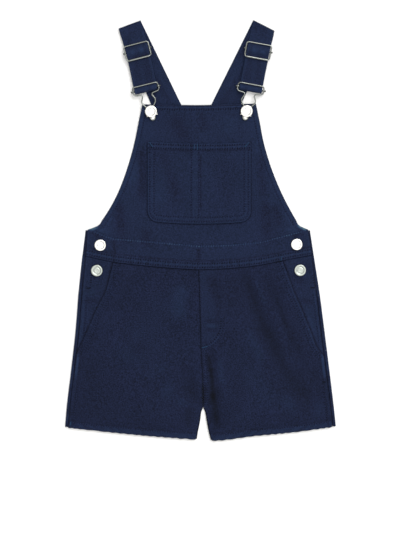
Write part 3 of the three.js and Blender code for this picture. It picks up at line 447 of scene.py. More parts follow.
def front_base(x, y):
    """Underside of the front with its small creases, at least the back cloth's thickness up."""
    return np.maximum(front_lift(x, y) + crumple(x, y), CLOTH * 0.35)


def pocket_lift(x, y):
    """Rise of the front panel where the hip piece lies under its slanted edge."""
    inside = np.minimum(x - slash_x("left", y), slash_x("right", y) - x)
    near = 1 - ease((inside - POCKET_TUCK["reach"] - POCKET_RISE["beyond"]) / POCKET_RISE["run"])
    below_waist = ease((waist_y(x) - y) / POCKET_RISE["waist_run"])
    above_foot = ease((y - HIP_FOOT_Y + POCKET_RISE["foot_above"]) / POCKET_RISE["foot_run"])
    return LAYER * near * below_waist * above_foot


def fly_rise(x, y):
    """The fly's extra layer beside the centre seam, and the seam's ridge below it."""
    inside = x - sample(CENTRE, "y", "x", y)
    end = ease((y - fly_edge(inside)) / 2.5)
    fly = FLY["extra"] * (1 - ease((inside - FLY["width"]) / 4)) * end
    ridge = FLY["ridge"] * (1 - ease((inside - FLY["ridge_width"]) / 3)) * ease((y - CROTCH[1]) / 20)
    return np.where(inside > -1, np.maximum(fly, ridge), 0)


def fly_edge(inside):
    """The fly's lower end: nearly level at the seam, and curving up to its outer edge."""
    out = np.clip(inside / FLY["width"], 0, 1)
    return FLY["foot_y"] - 4 + 4 * out + 22 * out ** 6


def bib_top_y(x):
    return sample(BIB_TOP, "x", "y", x)


def front_over(side):
    """Top of a front panel of the shorts, without its sewing."""
    def height(x, y):
        hem = HEM["extra"] * (1 - ease((y - hem_y(x) - HEM["depth"]) / STEP_RUN))
        fly = fly_rise(x, y) if side == "right" else 0
        return front_base(x, y) + pocket_lift(x, y) + CLOTH + hem + fly
    return height


def hip_over(x, y):
    return front_base(x, y) + CLOTH


def bib_over(x, y):
    """Top of the bib, with the raised fold at the waist and the hem at its top."""
    fold = WAIST_FOLD["extra"] * (1 - ease((y - waist_y(x) - WAIST_FOLD["depth"]) / 2))
    hem = BIB_HEM["extra"] * ease((y - bib_top_y(x) + BIB_HEM["depth"] + STEP_RUN) / STEP_RUN)
    return front_base(x, y) + CLOTH + fold + hem


def pocket_over(x, y):
    """Top of the bib pocket: the bib's surface moved out, with the hem at its mouth."""
    top = sagged(BIB_POCKET["top"], x)
    hem = POCKET_HEM["extra"] * ease((y - top + POCKET_HEM["depth"] + STEP_RUN) / STEP_RUN)
    slack = 0.9 * ease((top - y - 6) / 30) * ease((y - 16) / 30) * ease((62 - np.abs(x + 2)) / 26)
    pen_fold = -0.3 * bell(x - PEN_FOLD_X, 1.3) * ease((y - 24) / 12) * ease((104 - y) / 6)
    return front_base(x, y) + LAYER + CLOTH + hem + slack + pen_fold * 0.8


PEN_FOLD_X = 0.2
PEN_ROWS_X = (-11.8, -2.3)


def sagged(ends, x):
    """A pocket edge that dips between its corners."""
    share = (x - BIB_POCKET["left"]) / (BIB_POCKET["right"] - BIB_POCKET["left"])
    start, middle, end = ends
    return lerp(start, end, share) + 4 * share * (1 - share) * (middle - (start + end) / 2)


def even(points, spacing):
    """A line through the points, resampled to even steps near the given spacing."""
    points = np.asarray(points, float)
    run = np.concatenate([[0], np.cumsum(np.linalg.norm(np.diff(points, axis=0), axis=1))])
    count = max(int(round(run[-1] / spacing)), 2)
    at = np.linspace(0, run[-1], count + 1)
    return np.stack([np.interp(at, run, points[:, k]) for k in range(points.shape[1])], axis=1)


def inset(points, distance):
    """The line moved to the left of its direction of travel."""
    ahead = np.gradient(points, axis=0)
    ahead /= np.linalg.norm(ahead, axis=1)[:, None]
    return points + distance * np.stack([-ahead[:, 1], ahead[:, 0]], axis=1)


def nearest(line, x, y):
    """Distance from each point to a line, and how far along the line the nearest place lies."""
    best = np.full(x.shape, 1e9)
    along = np.zeros(x.shape)
    low, high = line.min(axis=0) - 16, line.max(axis=0) + 16
    near = (x > low[0]) & (x < high[0]) & (y > low[1]) & (y < high[1])
    px, py = x[near], y[near]
    distance, place, run = np.full(px.shape, 1e9), np.zeros(px.shape), 0.0
    for a, b in zip(line[:-1], line[1:]):
        d = b - a
        length = np.hypot(*d)
        t = np.clip(((px - a[0]) * d[0] + (py - a[1]) * d[1]) / length ** 2, 0, 1)
        away = np.hypot(px - a[0] - t * d[0], py - a[1] - t * d[1])
        closer = away < distance
        distance = np.where(closer, away, distance)
        place = np.where(closer, run + t * length, place)
        run += length
    best[near], along[near] = distance, place
    return best, along


def column_line(x_of, y_start, y_end, steps=60):
    """A line whose x is a function of y."""
    ys = np.linspace(y_start, y_end, steps)
    return np.stack([np.broadcast_to(x_of(ys), ys.shape), ys], axis=1)


def row_line(y_of, x_start, x_end, steps=120):
    """A line whose y is a function of x."""
    xs = np.linspace(x_start, x_end, steps)
    return np.stack([xs, np.broadcast_to(y_of(xs), xs.shape)], axis=1)


def bib_edge(side):
    """The bib's outer edge from the waist seam up past the side corner to the top."""
    sign = INWARD[side]
    lower_x = lambda y: sample(SIDE, "y", side, y) + sign * side_rim(side, y)
    foot_y = float(waist_y(lower_x(BACK_WAIST_Y))) + SEAM_GAP / 2
    lower = column_line(lower_x, foot_y, -0.5, 20)
    top_y = BIB_TOP["y"][0 if side == "left" else 2]
    upper = column_line(lambda y: sample(ARMHOLE, "y", side, y), 1.2, top_y, 200)
    return even(np.concatenate([lower, upper]), 1.5)


def pocket_outline():
    """The pocket's sewn edge: down the left side, round the foot and up the right side."""
    p = BIB_POCKET
    quarter = np.linspace(0, math.pi / 2, 10)
    r = p["corner"]
    foot_left, foot_right = p["bottom"][0], p["bottom"][2]
    left = np.array([[p["left"], p["top"][0]], [p["left"], foot_left + r]])
    corner_left = np.stack(
        [p["left"] + r * (1 - np.cos(quarter)), foot_left + r * (1 - np.sin(quarter))], axis=1)
    xs = np.linspace(p["left"] + r, p["right"] - r, 24)
    foot = np.stack([xs, sagged(p["bottom"], xs)], axis=1)
    corner_left[:, 1] += (foot[0, 1] - foot_left) * np.sin(quarter)
    corner_right = np.stack(
        [p["right"] - r * (1 - np.cos(quarter)), foot_right + r * (1 - np.sin(quarter))], axis=1)
    corner_right[:, 1] += (foot[-1, 1] - foot_right) * np.sin(quarter)
    right = np.array([[p["right"], foot_right + r], [p["right"], p["top"][2]]])
    return even(np.concatenate([left, corner_left, foot, corner_right[::-1], right]), 2.0)


def cut(line, start, end):
    """The part of a line between two distances, the second counted from its far end."""
    run = np.concatenate([[0], np.cumsum(np.linalg.norm(np.diff(line, axis=0), axis=1))])
    keep = (run >= start) & (run <= run[-1] - end)
    return line[keep]


def sewing_of(panel):
    """The stitched rows of a panel, each a line and a tone: below 0 sunken, with painted shade in its pits;
    above 0 light.
    """
    rows = []
    side = panel.rsplit("_", 1)[-1]
    sign = INWARD.get(side, 1)
    if panel == "bib":
        for s in SIDES:
            edge = bib_edge(s)
            rows.append((cut(inset(edge, -INWARD[s] * 6.2), 52, 3), -0.3))
            rows.append((even(np.array(FACING[s], float), 5), 0.6))
        rows.append((row_line(lambda x: bib_top_y(x) - 6.0, -62, 58), -0.85))
        for depth in TWIN["waist"]:
            rows.append((row_line(lambda x, d=depth: waist_y(x) + d, -147, 142), -0.95))
    elif panel == "bib_pocket":
        outline = pocket_outline()
        for depth in TWIN["pocket"]:
            rows.append((cut(inset(outline, depth), 9 if depth > 5 else 2, 9 if depth > 5 else 2), -0.42))
        for depth in TWIN["mouth"]:
            rows.append((row_line(lambda x, d=depth: sagged(BIB_POCKET["top"], x) - d, -67, 63.5), -0.85))
        for x in PEN_ROWS_X:
            rows.append((column_line(lambda y, at=x: np.full_like(y, at), 104, 17), -0.4))
    elif panel.startswith("front"):
        slash = column_line(lambda y: slash_x(side, y), slash_top(side) - 0.5, POCKET_FOOT_Y + 4)
        for depth in TWIN["slash"]:
            rows.append((inset(slash, sign * depth), -0.25 if side == "left" else -0.5))
        inner = float(INNER_LEG[side][-1]) - sign * (LEG_RIM + 2)
        outer = float(outline_x(side, -254) + sign * (side_rim(side, -254) + 2))
        rows.append((row_line(lambda x: hem_y(x) + HEM["depth"] - 1.6, outer, inner), -0.3))
        if side == "right":
            for depth in (30.5, 26.5):
                rows.append((cut(fly_row(depth), 60, 0), -0.4 if depth > 28 else -0.8))
            for depth in (2.4, 6.2):
                seam = column_line(lambda y, d=depth: sample(CENTRE, "y", "x", y) + d, -156, -226)
                rows.append((seam, -0.4))
        seam = column_line(lambda y: outline_x(side, y) + sign * (side_rim(side, y) + 7), -200, -246)
        rows.append((seam, -0.15 if side == "left" else -0.4))
    elif panel.startswith("hip"):
        reach = 10.4 if side == "left" else 1.8
        placket = column_line(lambda y: outline_x(side, y) + sign * (side_rim(side, y) + reach), -58, -74)
        rows.append((placket, -0.9 if side == "left" else -0.6))
        inner = 6.6 if side == "left" else 4.8
        seam = column_line(lambda y: outline_x(side, y) + sign * (side_rim(side, y) + inner), -84, -146)
        rows.append((seam, -0.3))
    return rows


# Row that holds the facing inside the bib's lower edge
FACING = {
    "left": ((-136.8, -1.7), (-124.8, -7.5), (-112.8, -11.1), (-60, -15.3), (-2, -20.6)),
    "right": ((130.7, -1.7), (93.7, -11.3), (81.9, -15.0), (37.8, -19.5), (-2, -20.6)),
}


def fly_row(depth):
    """The J-shaped row that holds the fly: straight down, then curving in to the centre seam."""
    straight = column_line(lambda y: sample(CENTRE, "y", "x", y) + depth, -52, -119, 20)
    turn = np.linspace(0, 1, 16)[1:]
    foot_x = float(sample(CENTRE, "y", "x", -148)) + 1.5
    start_x = straight[-1, 0]
    curve_x = lerp(start_x, foot_x, 1 - np.cos(turn * math.pi / 2) ** 1.2)
    drop = 34.5 - 0.9 * (30.5 - depth)
    curve_y = -119 - drop * np.sin(turn * math.pi / 2) ** 0.9
    return even(np.concatenate([straight, np.stack([curve_x, curve_y], axis=1)]), 3)


# Bar tacks, the short dense stitches at points of strain: x, y, length, angle, panel, thread
BAR_TACKS = (
    (-64.0, 111.4, 7.4, -57, "bib_pocket", "tack"),
    (60.0, 111.2, 7.4, 46, "bib_pocket", "tack"),
    (-8.2, 108.6, 6.4, 88, "bib_pocket", "tack"),
    (-4.0, 108.4, 7.8, 94, "bib_pocket", "tack"),
    (104.7, -36.4, 5.2, 84, "bib", "tack"),
    (-145.2, -74.6, 4.6, 4, "hip_left", "dark"),
    (145.6, -74.0, 4.6, -6, "hip_right", "dark"),
    (5.4, -151.0, 7.6, 15, "front_right", "tack"),
    (-168.6, -250.0, 4.4, 80, "front_left", "tack"),
    (160.6, -196.0, 4.6, -12, "front_right", "dark"),
)


def sewn_surface(panel, over):
    """A panel's top with sunken rows, needle pits and puckers, and the tone painted over them: painted shade
    in the pits of a dark row with a pale strip beside it, the reverse for a light row, and painted light and
    shade on the puckers.
    """
    pitch = bpy.context.scene.dungarees_sewing.stitch_pitch / MM
    rows = []
    for line, mark in sewing_of(panel):
        line = even(line, 3.5)
        length = np.linalg.norm(np.diff(line, axis=0), axis=1).sum()
        rows.append((line, mark, length / max(round(length / pitch), 2)))

    def finish(x, y):
        z = over(x, y)
        tone = np.zeros_like(z)
        for number, (line, mark, step) in enumerate(rows):
            away, along = nearest(line, x, y)
            groove = bell(away, GROOVE["width"])
            between = ease(0.5 + 0.7 * np.cos(along * math.tau / step))
            pit = bell(away, PIT["width"]) * between * (0.9 + 0.2 * mottle(along, number * 5, 9, 23))
            z = z - GROOVE["depth"] * groove - PIT["depth"] * pit
            strip = bell(away, 1.7) * (1 - pit)
            swing = np.sin(along * math.tau / 7.4 + 2.6 * mottle(along, number * 7, 11, 21) + away * 0.35)
            pucker = swing * (0.5 + 0.5 * mottle(along, number * 3, 23, 22)) * bell(away, 4.2)
            z = z + 0.12 * pucker
            # Painted tone: a dark row (mark below 0) gets painted shade in its pits and a pale strip beside
            # them, a light row the reverse; the puckers get painted light and shade on their sides
            tone = tone + 0.1 * pucker * abs(mark) + mark * (1.45 * pit - 0.16 * strip)
        return z, tone
    return finish


def new_object(name, points, faces, material, smooth=True):
    """A mesh object from points in millimetres."""
    mesh = bpy.data.meshes.new(name)
    mesh.from_pydata((np.asarray(points, float) * MM).tolist(), [], faces)
    mesh.validate()
    mesh.update()
    if smooth:
        mesh.polygons.foreach_set("use_smooth", [True] * len(mesh.polygons))
    mesh.materials.append(material)
    made = bpy.data.objects.new(name, mesh)
    bpy.context.scene.collection.objects.link(made)
    return made


def set_tone(made, tone):
    """Stores on each point the cloth's tone: above 0 paler, from rubbed wear and painted highlights; below 0
    darker, from painted shade in grooves, pits, seam lines and folds.
    """
    attribute = made.data.attributes.new("tone", "FLOAT", "POINT")
    attribute.data.foreach_set("value", np.asarray(tone, np.float32))


def wall_faces(columns, rows, stride):
    """Faces of a closed wall: a fine top grid, a coarser underside and the rim that joins them."""
    at = np.arange(columns * rows).reshape(rows, columns)
    under = at + columns * rows
    top = np.stack([at[:-1, :-1], at[:-1, 1:], at[1:, 1:], at[1:, :-1]], axis=-1).reshape(-1, 4)
    faces = top.tolist()
    js = sorted(set(list(range(0, rows, stride)) + [rows - 1]))
    ks = sorted(set(list(range(0, columns, stride)) + [columns - 1]))
    for j0, j1 in zip(js[:-1], js[1:]):
        for k0, k1 in zip(ks[:-1], ks[1:]):
            south = range(k0, k1) if j0 == 0 else (k0,)
            east = range(j0, j1) if k1 == columns - 1 else (j0,)
            north = range(k1, k0, -1) if j1 == rows - 1 else (k1,)
            west = range(j1, j0, -1) if k0 == 0 else (j1,)
            ring = [under[j0, k] for k in south] + [under[j, k1] for j in east]
            ring += [under[j1, k] for k in north] + [under[j, k0] for j in west]
            faces.append([int(i) for i in reversed(ring)])
    rim = list(at[0, :-1]) + list(at[:-1, -1]) + list(at[-1, :0:-1]) + list(at[:0:-1, 0])
    lower = list(under[0, :-1]) + list(under[:-1, -1]) + list(under[-1, :0:-1]) + list(under[:0:-1, 0])
    for i in range(len(rim)):
        j = (i + 1) % len(rim)
        faces.append([int(rim[j]), int(rim[i]), int(lower[i]), int(lower[j])])
    return faces


def drop_unused(points, faces, values):
    """Leaves out the points that no face uses."""
    used = np.zeros(len(points), bool)
    for face in faces:
        used[face] = True
    number = np.cumsum(used) - 1
    return points[used], [[int(number[i]) for i in face] for face in faces], values[used]


def shares(count, width, fine=EDGE_ROUND):
    """Even shares from 0 to 1, with one more close to each end for the rounded edge."""
    edge = fine / width
    return np.concatenate([[0, edge * 0.4, edge], np.linspace(edge, 1 - edge, count)[1:-1],
                           [1 - edge, 1 - edge * 0.4, 1]])


def by_share(points):
    """A line as a function of a share of its length."""
    points = even(points, 1.0)
    steps = np.linspace(0, 1, len(points))
    return lambda share: np.stack([np.interp(share, steps, points[:, k]) for k in (0, 1)], axis=-1)


def panel_grid(bottom, top, left, right, across, along):
    """Points of a patch between four edges."""
    u, v = np.meshgrid(across, along)
    u, v = u[..., None], v[..., None]
    b, t = bottom(across)[None, :, :], top(across)[None, :, :]
    l, r = left(along)[:, None, :], right(along)[:, None, :]
    corners = [left(np.array([0.0])), right(np.array([0.0])), left(np.array([1.0])), right(np.array([1.0]))]
    grid = b * (1 - v) + t * v + l * (1 - u) + r * u
    grid = grid - corners[0] * (1 - u) * (1 - v) - corners[1] * u * (1 - v)
    return grid - corners[2] * (1 - u) * v - corners[3] * u * v


def cloth_wall(name, edges, size, under, finish, material, extra_tone=None, stride=4, edge_wear=0.06):
    """A cloth panel as a thin closed wall: fine on top, with rounded edges."""
    spacing = bpy.context.scene.dungarees_cloth.mesh_step / MM
    across = shares(int(size[0] / spacing), size[0])
    along = shares(int(size[1] / spacing), size[1])
    grid = panel_grid(*edges, across, along)
    x, y = grid[..., 0], grid[..., 1]
    low = under(x, y)
    high, tone = finish(x, y)
    high = np.maximum(high, low + CLOTH * 0.6)
    ring = edge_rings(len(across), len(along))
    high = high - EDGE_DROP * ring
    low = low + EDGE_DROP * 0.5 * (ring > 0.99)
    tone = tone + edge_wear * (ring > 0)
    if extra_tone is not None:
        tone = tone + extra_tone(x, y)
    return closed_wall(name, x, y, high, low, tone, stride, material)


def closed_wall(name, x, y, high, low, tone, stride, material):
    """A wall between a top and an underside over one grid, with its tone on the top."""
    rows, columns = x.shape
    points = np.concatenate([np.stack([x, y, z], -1).reshape(-1, 3) for z in (high, low)])
    values = np.concatenate([tone.ravel(), tone.ravel() * 0])
    points, faces, values = drop_unused(points, wall_faces(columns, rows, stride), values)
    made = new_object(name, points, faces, material)
    set_tone(made, np.clip(values, -1, 1.1))
    return made


def edge_rings(columns, rows):
    """How far each grid point lies down the rounded edge: 1 on the rim, 0 inside."""
    ring = np.zeros((rows, columns))
    for step, drop in ((1, 0.3), (0, 1.0)):
        ring[step, :] = np.maximum(ring[step, :], drop)
        ring[-1 - step, :] = np.maximum(ring[-1 - step, :], drop)
        ring[:, step] = np.maximum(ring[:, step], drop)
        ring[:, -1 - step] = np.maximum(ring[:, -1 - step], drop)
    return ring


def sheet_piece(made, nodes, with_pieces=()):
    """Puts a cloth piece in its place: it stands for its solids and has its own cut."""
    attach(made, "root")
    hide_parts(*nodes)
    for piece in with_pieces:
        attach(piece, "root")
    return made


STITCH_SIDES = 6
STITCH_RINGS = ((-0.5, 0.45, -0.9), (-0.38, 0.85, 0.1), (0, 1.0, 0.42), (0.38, 0.85, 0.1), (0.5, 0.45, -0.9))


def thread_mesh(name, stitches, thick, material):
    """Joined short threads. Each stitch has a middle and a run from end to end, and sinks in at both ends."""
    angles = np.arange(STITCH_SIDES) * math.tau / STITCH_SIDES
    points, faces = [], []
    for middle, run in stitches:
        length = np.linalg.norm(run)
        ahead = run / length
        aside = np.array([-ahead[1], ahead[0], 0.0])
        aside /= np.linalg.norm(aside)
        up = np.cross(ahead, aside)
        first = len(points)
        for at, swell, lift in STITCH_RINGS:
            centre = middle + run * at + up * (lift * thick * 0.5)
            for angle in angles:
                around = aside * math.cos(angle) * thick * 0.62 + up * math.sin(angle) * thick * 0.5
                points.append(centre + around * swell)
        for ring in range(len(STITCH_RINGS) - 1):
            for k in range(STITCH_SIDES):
                a, b = first + ring * STITCH_SIDES + k, first + ring * STITCH_SIDES + (k + 1) % STITCH_SIDES
                faces.append([a, b, b + STITCH_SIDES, a + STITCH_SIDES])
        last = first + (len(STITCH_RINGS) - 1) * STITCH_SIDES
        faces.append([first + k for k in reversed(range(STITCH_SIDES))])
        faces.append([last + k for k in range(STITCH_SIDES)])
    faces = [face[::-1] for face in faces]
    return new_object(name, points, faces, material)


def stitches_along(line, finish, thick, seed):
    """Stitches of even length with the small scatter of a sewing machine."""
    sewing = bpy.context.scene.dungarees_sewing
    pitch = sewing.stitch_pitch / MM
    length = pitch * sewing.thread_share
    draw = np.random.default_rng(seed)
    track = even(even(line, 3.5), pitch)
    centres = (track[:-1] + track[1:]) / 2
    ahead = np.diff(track, axis=0)
    ahead /= np.linalg.norm(ahead, axis=1)[:, None]
    turn = draw.normal(0, 0.05, len(ahead))
    ahead = np.stack([ahead[:, 0] - turn * ahead[:, 1], ahead[:, 1] + turn * ahead[:, 0]], axis=1)
    centres = centres + draw.normal(0, 0.06, centres.shape)
    half = ahead * length / 2
    ends = [finish(*(centres + sign * half).T)[0] for sign in (-1, 1)]
    found = []
    for centre, step, low, high in zip(centres, half, *ends):
        middle = np.array([*centre, (low + high) / 2 + thick * 0.32])
        found.append((middle, np.array([*(2 * step), high - low])))
    return found


def bar_tack(x, y, length, angle, finish, thick):
    """A bar tack: threads laid side by side across a short line."""
    turn = math.radians(angle)
    ahead = np.array([math.cos(turn), math.sin(turn)])
    across = np.array([-ahead[1], ahead[0]])
    found = []
    count = int(length / (thick * 0.95))
    for i in range(count):
        place = np.array([x, y]) + ahead * length * ((i + 0.5) / count - 0.5)
        slant = across * 1.35 + ahead * 0.3 * (-1) ** i
        z = finish(*place[:, None])[0][0] + thick * 0.6
        found.append((np.array([*place, z]), np.array([*slant, 0.0])))
    return found


def sew(panel, finish, materials):
    """The threads of a panel: its stitched rows and its bar tacks."""
    sewing = bpy.context.scene.dungarees_sewing
    thick = sewing.thread_thickness / MM
    threads = []
    for number, (line, tone) in enumerate(sewing_of(panel)):
        threads += stitches_along(line, finish, thick, 100 + number)
    made = [thread_mesh(f"stitches_{panel}", threads, thick, materials["thread"])]
    for kind in ("tack", "dark"):
        threads = []
        for x, y, length, angle, _, _ in (row for row in BAR_TACKS if row[4:] == (panel, kind)):
            threads += bar_tack(x, y, length, angle, finish, thick)
        if threads:
            made.append(thread_mesh(f"bar_{kind}s_{panel}", threads, thick, materials[kind]))
    return made


def add_node(tree, kind, inputs=None, **settings):
    """Adds a node with its settings. An input is a value, or the socket that it is linked from."""
    made = tree.nodes.new(kind)
    for name, value in settings.items():
        setattr(made, name, value)
    for name, value in (inputs or {}).items():
        if isinstance(value, bpy.types.NodeSocket):
            tree.links.new(value, made.inputs[name])
        else:
            made.inputs[name].default_value = value
    return made


def new_material(name):
    """An empty material with its output, as (material, tree, output node)."""
    found = bpy.data.materials.get(name)
    if found:
        bpy.data.materials.remove(found)
    made = bpy.data.materials.new(name)
    made.use_nodes = True
    made.node_tree.nodes.clear()
    return made, made.node_tree, add_node(made.node_tree, "ShaderNodeOutputMaterial")


def rgba(colour):
    return (*colour, 1.0)


# Woven cotton twill, piece-dyed navy: the eye sees a matt, deep blue cloth with a fine diagonal grain,
# blotches from washing and paler edges where it rubs; the tone also paints highlights on ridges and puckers,
# and near-black painted shade in the pits along the sewing, in seam lines and in fold bottoms
def cotton_twill():
    cloth = bpy.context.scene.dungarees_cloth
    made, tree, output = new_material("cotton_twill_woven_navy")
    place = add_node(tree, "ShaderNodeTexCoord").outputs["Object"]
    tone = add_node(tree, "ShaderNodeAttribute", attribute_name="tone").outputs["Fac"]
    # Twill lines are really about 0.5 mm apart, which is too fine to show, so they are drawn coarser
    turned = add_node(tree, "ShaderNodeMapping", {"Vector": place, "Rotation": (0, 0, math.radians(103))})
    scale = math.tau / (10 * cloth.twill_spacing * math.sqrt(2))
    twill = add_node(tree, "ShaderNodeTexWave", {
        "Vector": turned.outputs[0], "Scale": scale, "Distortion": 1.2, "Detail": 1.0,
        "Detail Scale": 1.5}, bands_direction="DIAGONAL").outputs["Fac"]
    # Slubs in the yarn, about 1.8 mm wide and 6 mm long, along the warp
    yarn_space = add_node(tree, "ShaderNodeMapping", {
        "Vector": place, "Scale": (1 / 0.0018, 1 / 0.006, 1 / 0.004)})
    yarn = add_node(tree, "ShaderNodeTexNoise", {
        "Vector": yarn_space.outputs[0], "Scale": 1.0, "Detail": 2.0}).outputs["Fac"]
    # The cloth's grain, about 1.6 mm across, and blotches from washing, about 45 mm
    fine = add_node(tree, "ShaderNodeTexNoise", {
        "Vector": place, "Scale": 1 / 0.0016, "Detail": 2.0}).outputs["Fac"]
    broad = add_node(tree, "ShaderNodeTexNoise", {
        "Vector": place, "Scale": 1 / 0.045, "Detail": 1.0}).outputs["Fac"]
    mix = add_node(tree, "ShaderNodeMath", {0: fine, 1: 0.95}, operation="MULTIPLY")
    mix = add_node(tree, "ShaderNodeMath", {0: yarn, 1: 0.22, 2: mix.outputs[0]}, operation="MULTIPLY_ADD")
    mix = add_node(tree, "ShaderNodeMath", {0: broad, 1: 0.16, 2: mix.outputs[0]}, operation="MULTIPLY_ADD")
    blotch = add_node(tree, "ShaderNodeMapRange", {
        "Value": mix.outputs[0], "From Min": 0.45, "From Max": 0.88}).outputs[0]
    colour = add_node(tree, "ShaderNodeMix", {
        "Factor": blotch, "A": rgba(cloth.deep_colour), "B": rgba(cloth.colour)},
        data_type="RGBA").outputs["Result"]
    # Above 0 the tone mixes in the paler colour: rubbed wear at the edges, and painted highlights on ridges,
    # puckers and the bands between sewn rows
    wear_and_light = add_node(tree, "ShaderNodeMapRange", {
        "Value": tone, "From Min": 0.0, "From Max": 1.0, "To Max": 0.95}).outputs[0]
    colour = add_node(tree, "ShaderNodeMix", {
        "Factor": wear_and_light, "A": colour, "B": rgba(cloth.wear_and_highlight_colour)}, data_type="RGBA").outputs["Result"]
    faded = add_node(tree, "ShaderNodeMapRange", {
        "Value": tone, "From Min": 0.5, "From Max": 1.1, "To Max": 0.9}).outputs[0]
    colour = add_node(tree, "ShaderNodeMix", {
        "Factor": faded, "A": colour, "B": rgba(cloth.faded_colour)}, data_type="RGBA").outputs["Result"]
    # Below 0 the tone mixes in the near-black colour: painted shade in the pits along the sewing, in seam
    # lines, at steps and in fold bottoms
    painted_shade_mix = add_node(tree, "ShaderNodeMapRange", {
        "Value": tone, "From Min": 0.0, "From Max": -1.0, "To Max": 0.95}).outputs[0]
    colour = add_node(tree, "ShaderNodeMix", {
        "Factor": painted_shade_mix, "A": colour, "B": rgba(cloth.twill_and_painted_shade_colour)}, data_type="RGBA").outputs["Result"]
    valley = add_node(tree, "ShaderNodeMapRange", {
        "Value": twill, "From Min": 0.0, "From Max": 0.6, "To Min": 0.25, "To Max": 0.0}).outputs[0]
    colour = add_node(tree, "ShaderNodeMix", {
        "Factor": valley, "A": colour, "B": rgba(cloth.twill_and_painted_shade_colour)}, data_type="RGBA").outputs["Result"]
    grain = add_node(tree, "ShaderNodeMath", {0: yarn, 1: 0.7, 2: twill}, operation="MULTIPLY_ADD")
    bump = add_node(tree, "ShaderNodeBump", {
        "Strength": 0.55, "Distance": 0.00022, "Height": grain.outputs[0]})
    shader = add_node(tree, "ShaderNodeBsdfPrincipled", {
        "Base Color": colour, "Roughness": 0.92, "Specular IOR Level": 0.12, "Sheen Weight": 0.06,
        "Sheen Roughness": 0.45, "Sheen Tint": rgba(linear("#9fb4e0")), "Normal": bump.outputs[0]})
    tree.links.new(shader.outputs[0], output.inputs["Surface"])
    return made


# Spun polyester-cotton sewing thread, dyed navy: a little paler and glossier than the cloth it sits in
def sewing_thread(name, colour):
    made, tree, output = new_material(name)
    place = add_node(tree, "ShaderNodeTexCoord").outputs["Object"]
    # Two plies twisted about every 0.7 mm, drawn as fine waves
    ply = add_node(tree, "ShaderNodeTexWave", {
        "Vector": place, "Scale": math.tau / (10 * 0.0007 * math.sqrt(2)), "Distortion": 1.0},
        bands_direction="DIAGONAL").outputs["Fac"]
    shade = add_node(tree, "ShaderNodeMapRange", {"Value": ply, "To Min": 0.75, "To Max": 1.0}).outputs[0]
    mixed = add_node(tree, "ShaderNodeMix", {
        "Factor": shade, "A": rgba(tuple(c * 0.7 for c in colour)), "B": rgba(colour)}, data_type="RGBA")
    bump = add_node(tree, "ShaderNodeBump", {"Strength": 0.4, "Distance": 0.0001, "Height": ply})
    shader = add_node(tree, "ShaderNodeBsdfPrincipled", {
        "Base Color": mixed.outputs["Result"], "Roughness": 0.85, "Specular IOR Level": 0.15,
        "Normal": bump.outputs[0]})
    tree.links.new(shader.outputs[0], output.inputs["Surface"])
    return made


# Steel wire and pressed brass under nickel plate, barrelled to a soft shine: bright and warm-white,
# with broad highlights and faint handling marks
def nickel_plate(name, colour, rough):
    made, tree, output = new_material(name)
    place = add_node(tree, "ShaderNodeTexCoord").outputs["Object"]
    # Handling marks about 0.8 mm across
    marks = add_node(tree, "ShaderNodeTexNoise", {
        "Vector": place, "Scale": 1 / 0.0008, "Detail": 4.0}).outputs["Fac"]
    rub = add_node(tree, "ShaderNodeMapRange", {
        "Value": marks, "From Min": 0.3, "From Max": 0.75,
        "To Min": rough * 0.9, "To Max": rough * 1.15}).outputs[0]
    # Uneven shine in patches of about 6 mm
    tarnish = add_node(tree, "ShaderNodeTexNoise", {
        "Vector": place, "Scale": 1 / 0.006, "Detail": 2.0}).outputs["Fac"]
    shade = add_node(tree, "ShaderNodeMix", {
        "Factor": tarnish, "A": rgba(tuple(c * 0.93 for c in colour)), "B": rgba(colour)}, data_type="RGBA")
    bump = add_node(tree, "ShaderNodeBump", {"Strength": 0.03, "Distance": 0.0001, "Height": marks})
    shader = add_node(tree, "ShaderNodeBsdfPrincipled", {
        "Base Color": shade.outputs["Result"], "Metallic": 1.0, "Roughness": rub, "Normal": bump.outputs[0]})
    tree.links.new(shader.outputs[0], output.inputs["Surface"])
    return made


# Matt white studio paper: an even ground with a barely visible grain
def studio_paper():
    made, tree, output = new_material("studio_paper_matt_white")
    place = add_node(tree, "ShaderNodeTexCoord").outputs["Object"]
    grain = add_node(tree, "ShaderNodeTexNoise", {
        "Vector": place, "Scale": 1 / 0.004, "Detail": 3.0}).outputs["Fac"]
    bump = add_node(tree, "ShaderNodeBump", {"Strength": 0.05, "Distance": 0.0002, "Height": grain})
    shader = add_node(tree, "ShaderNodeBsdfPrincipled", {
        "Base Color": rgba(tuple(bpy.context.scene.dungarees_stage.floor_colour)), "Roughness": 0.95,
        "Specular IOR Level": 0.2, "Normal": bump.outputs[0]})
    tree.links.new(shader.outputs[0], output.inputs["Surface"])
    return made


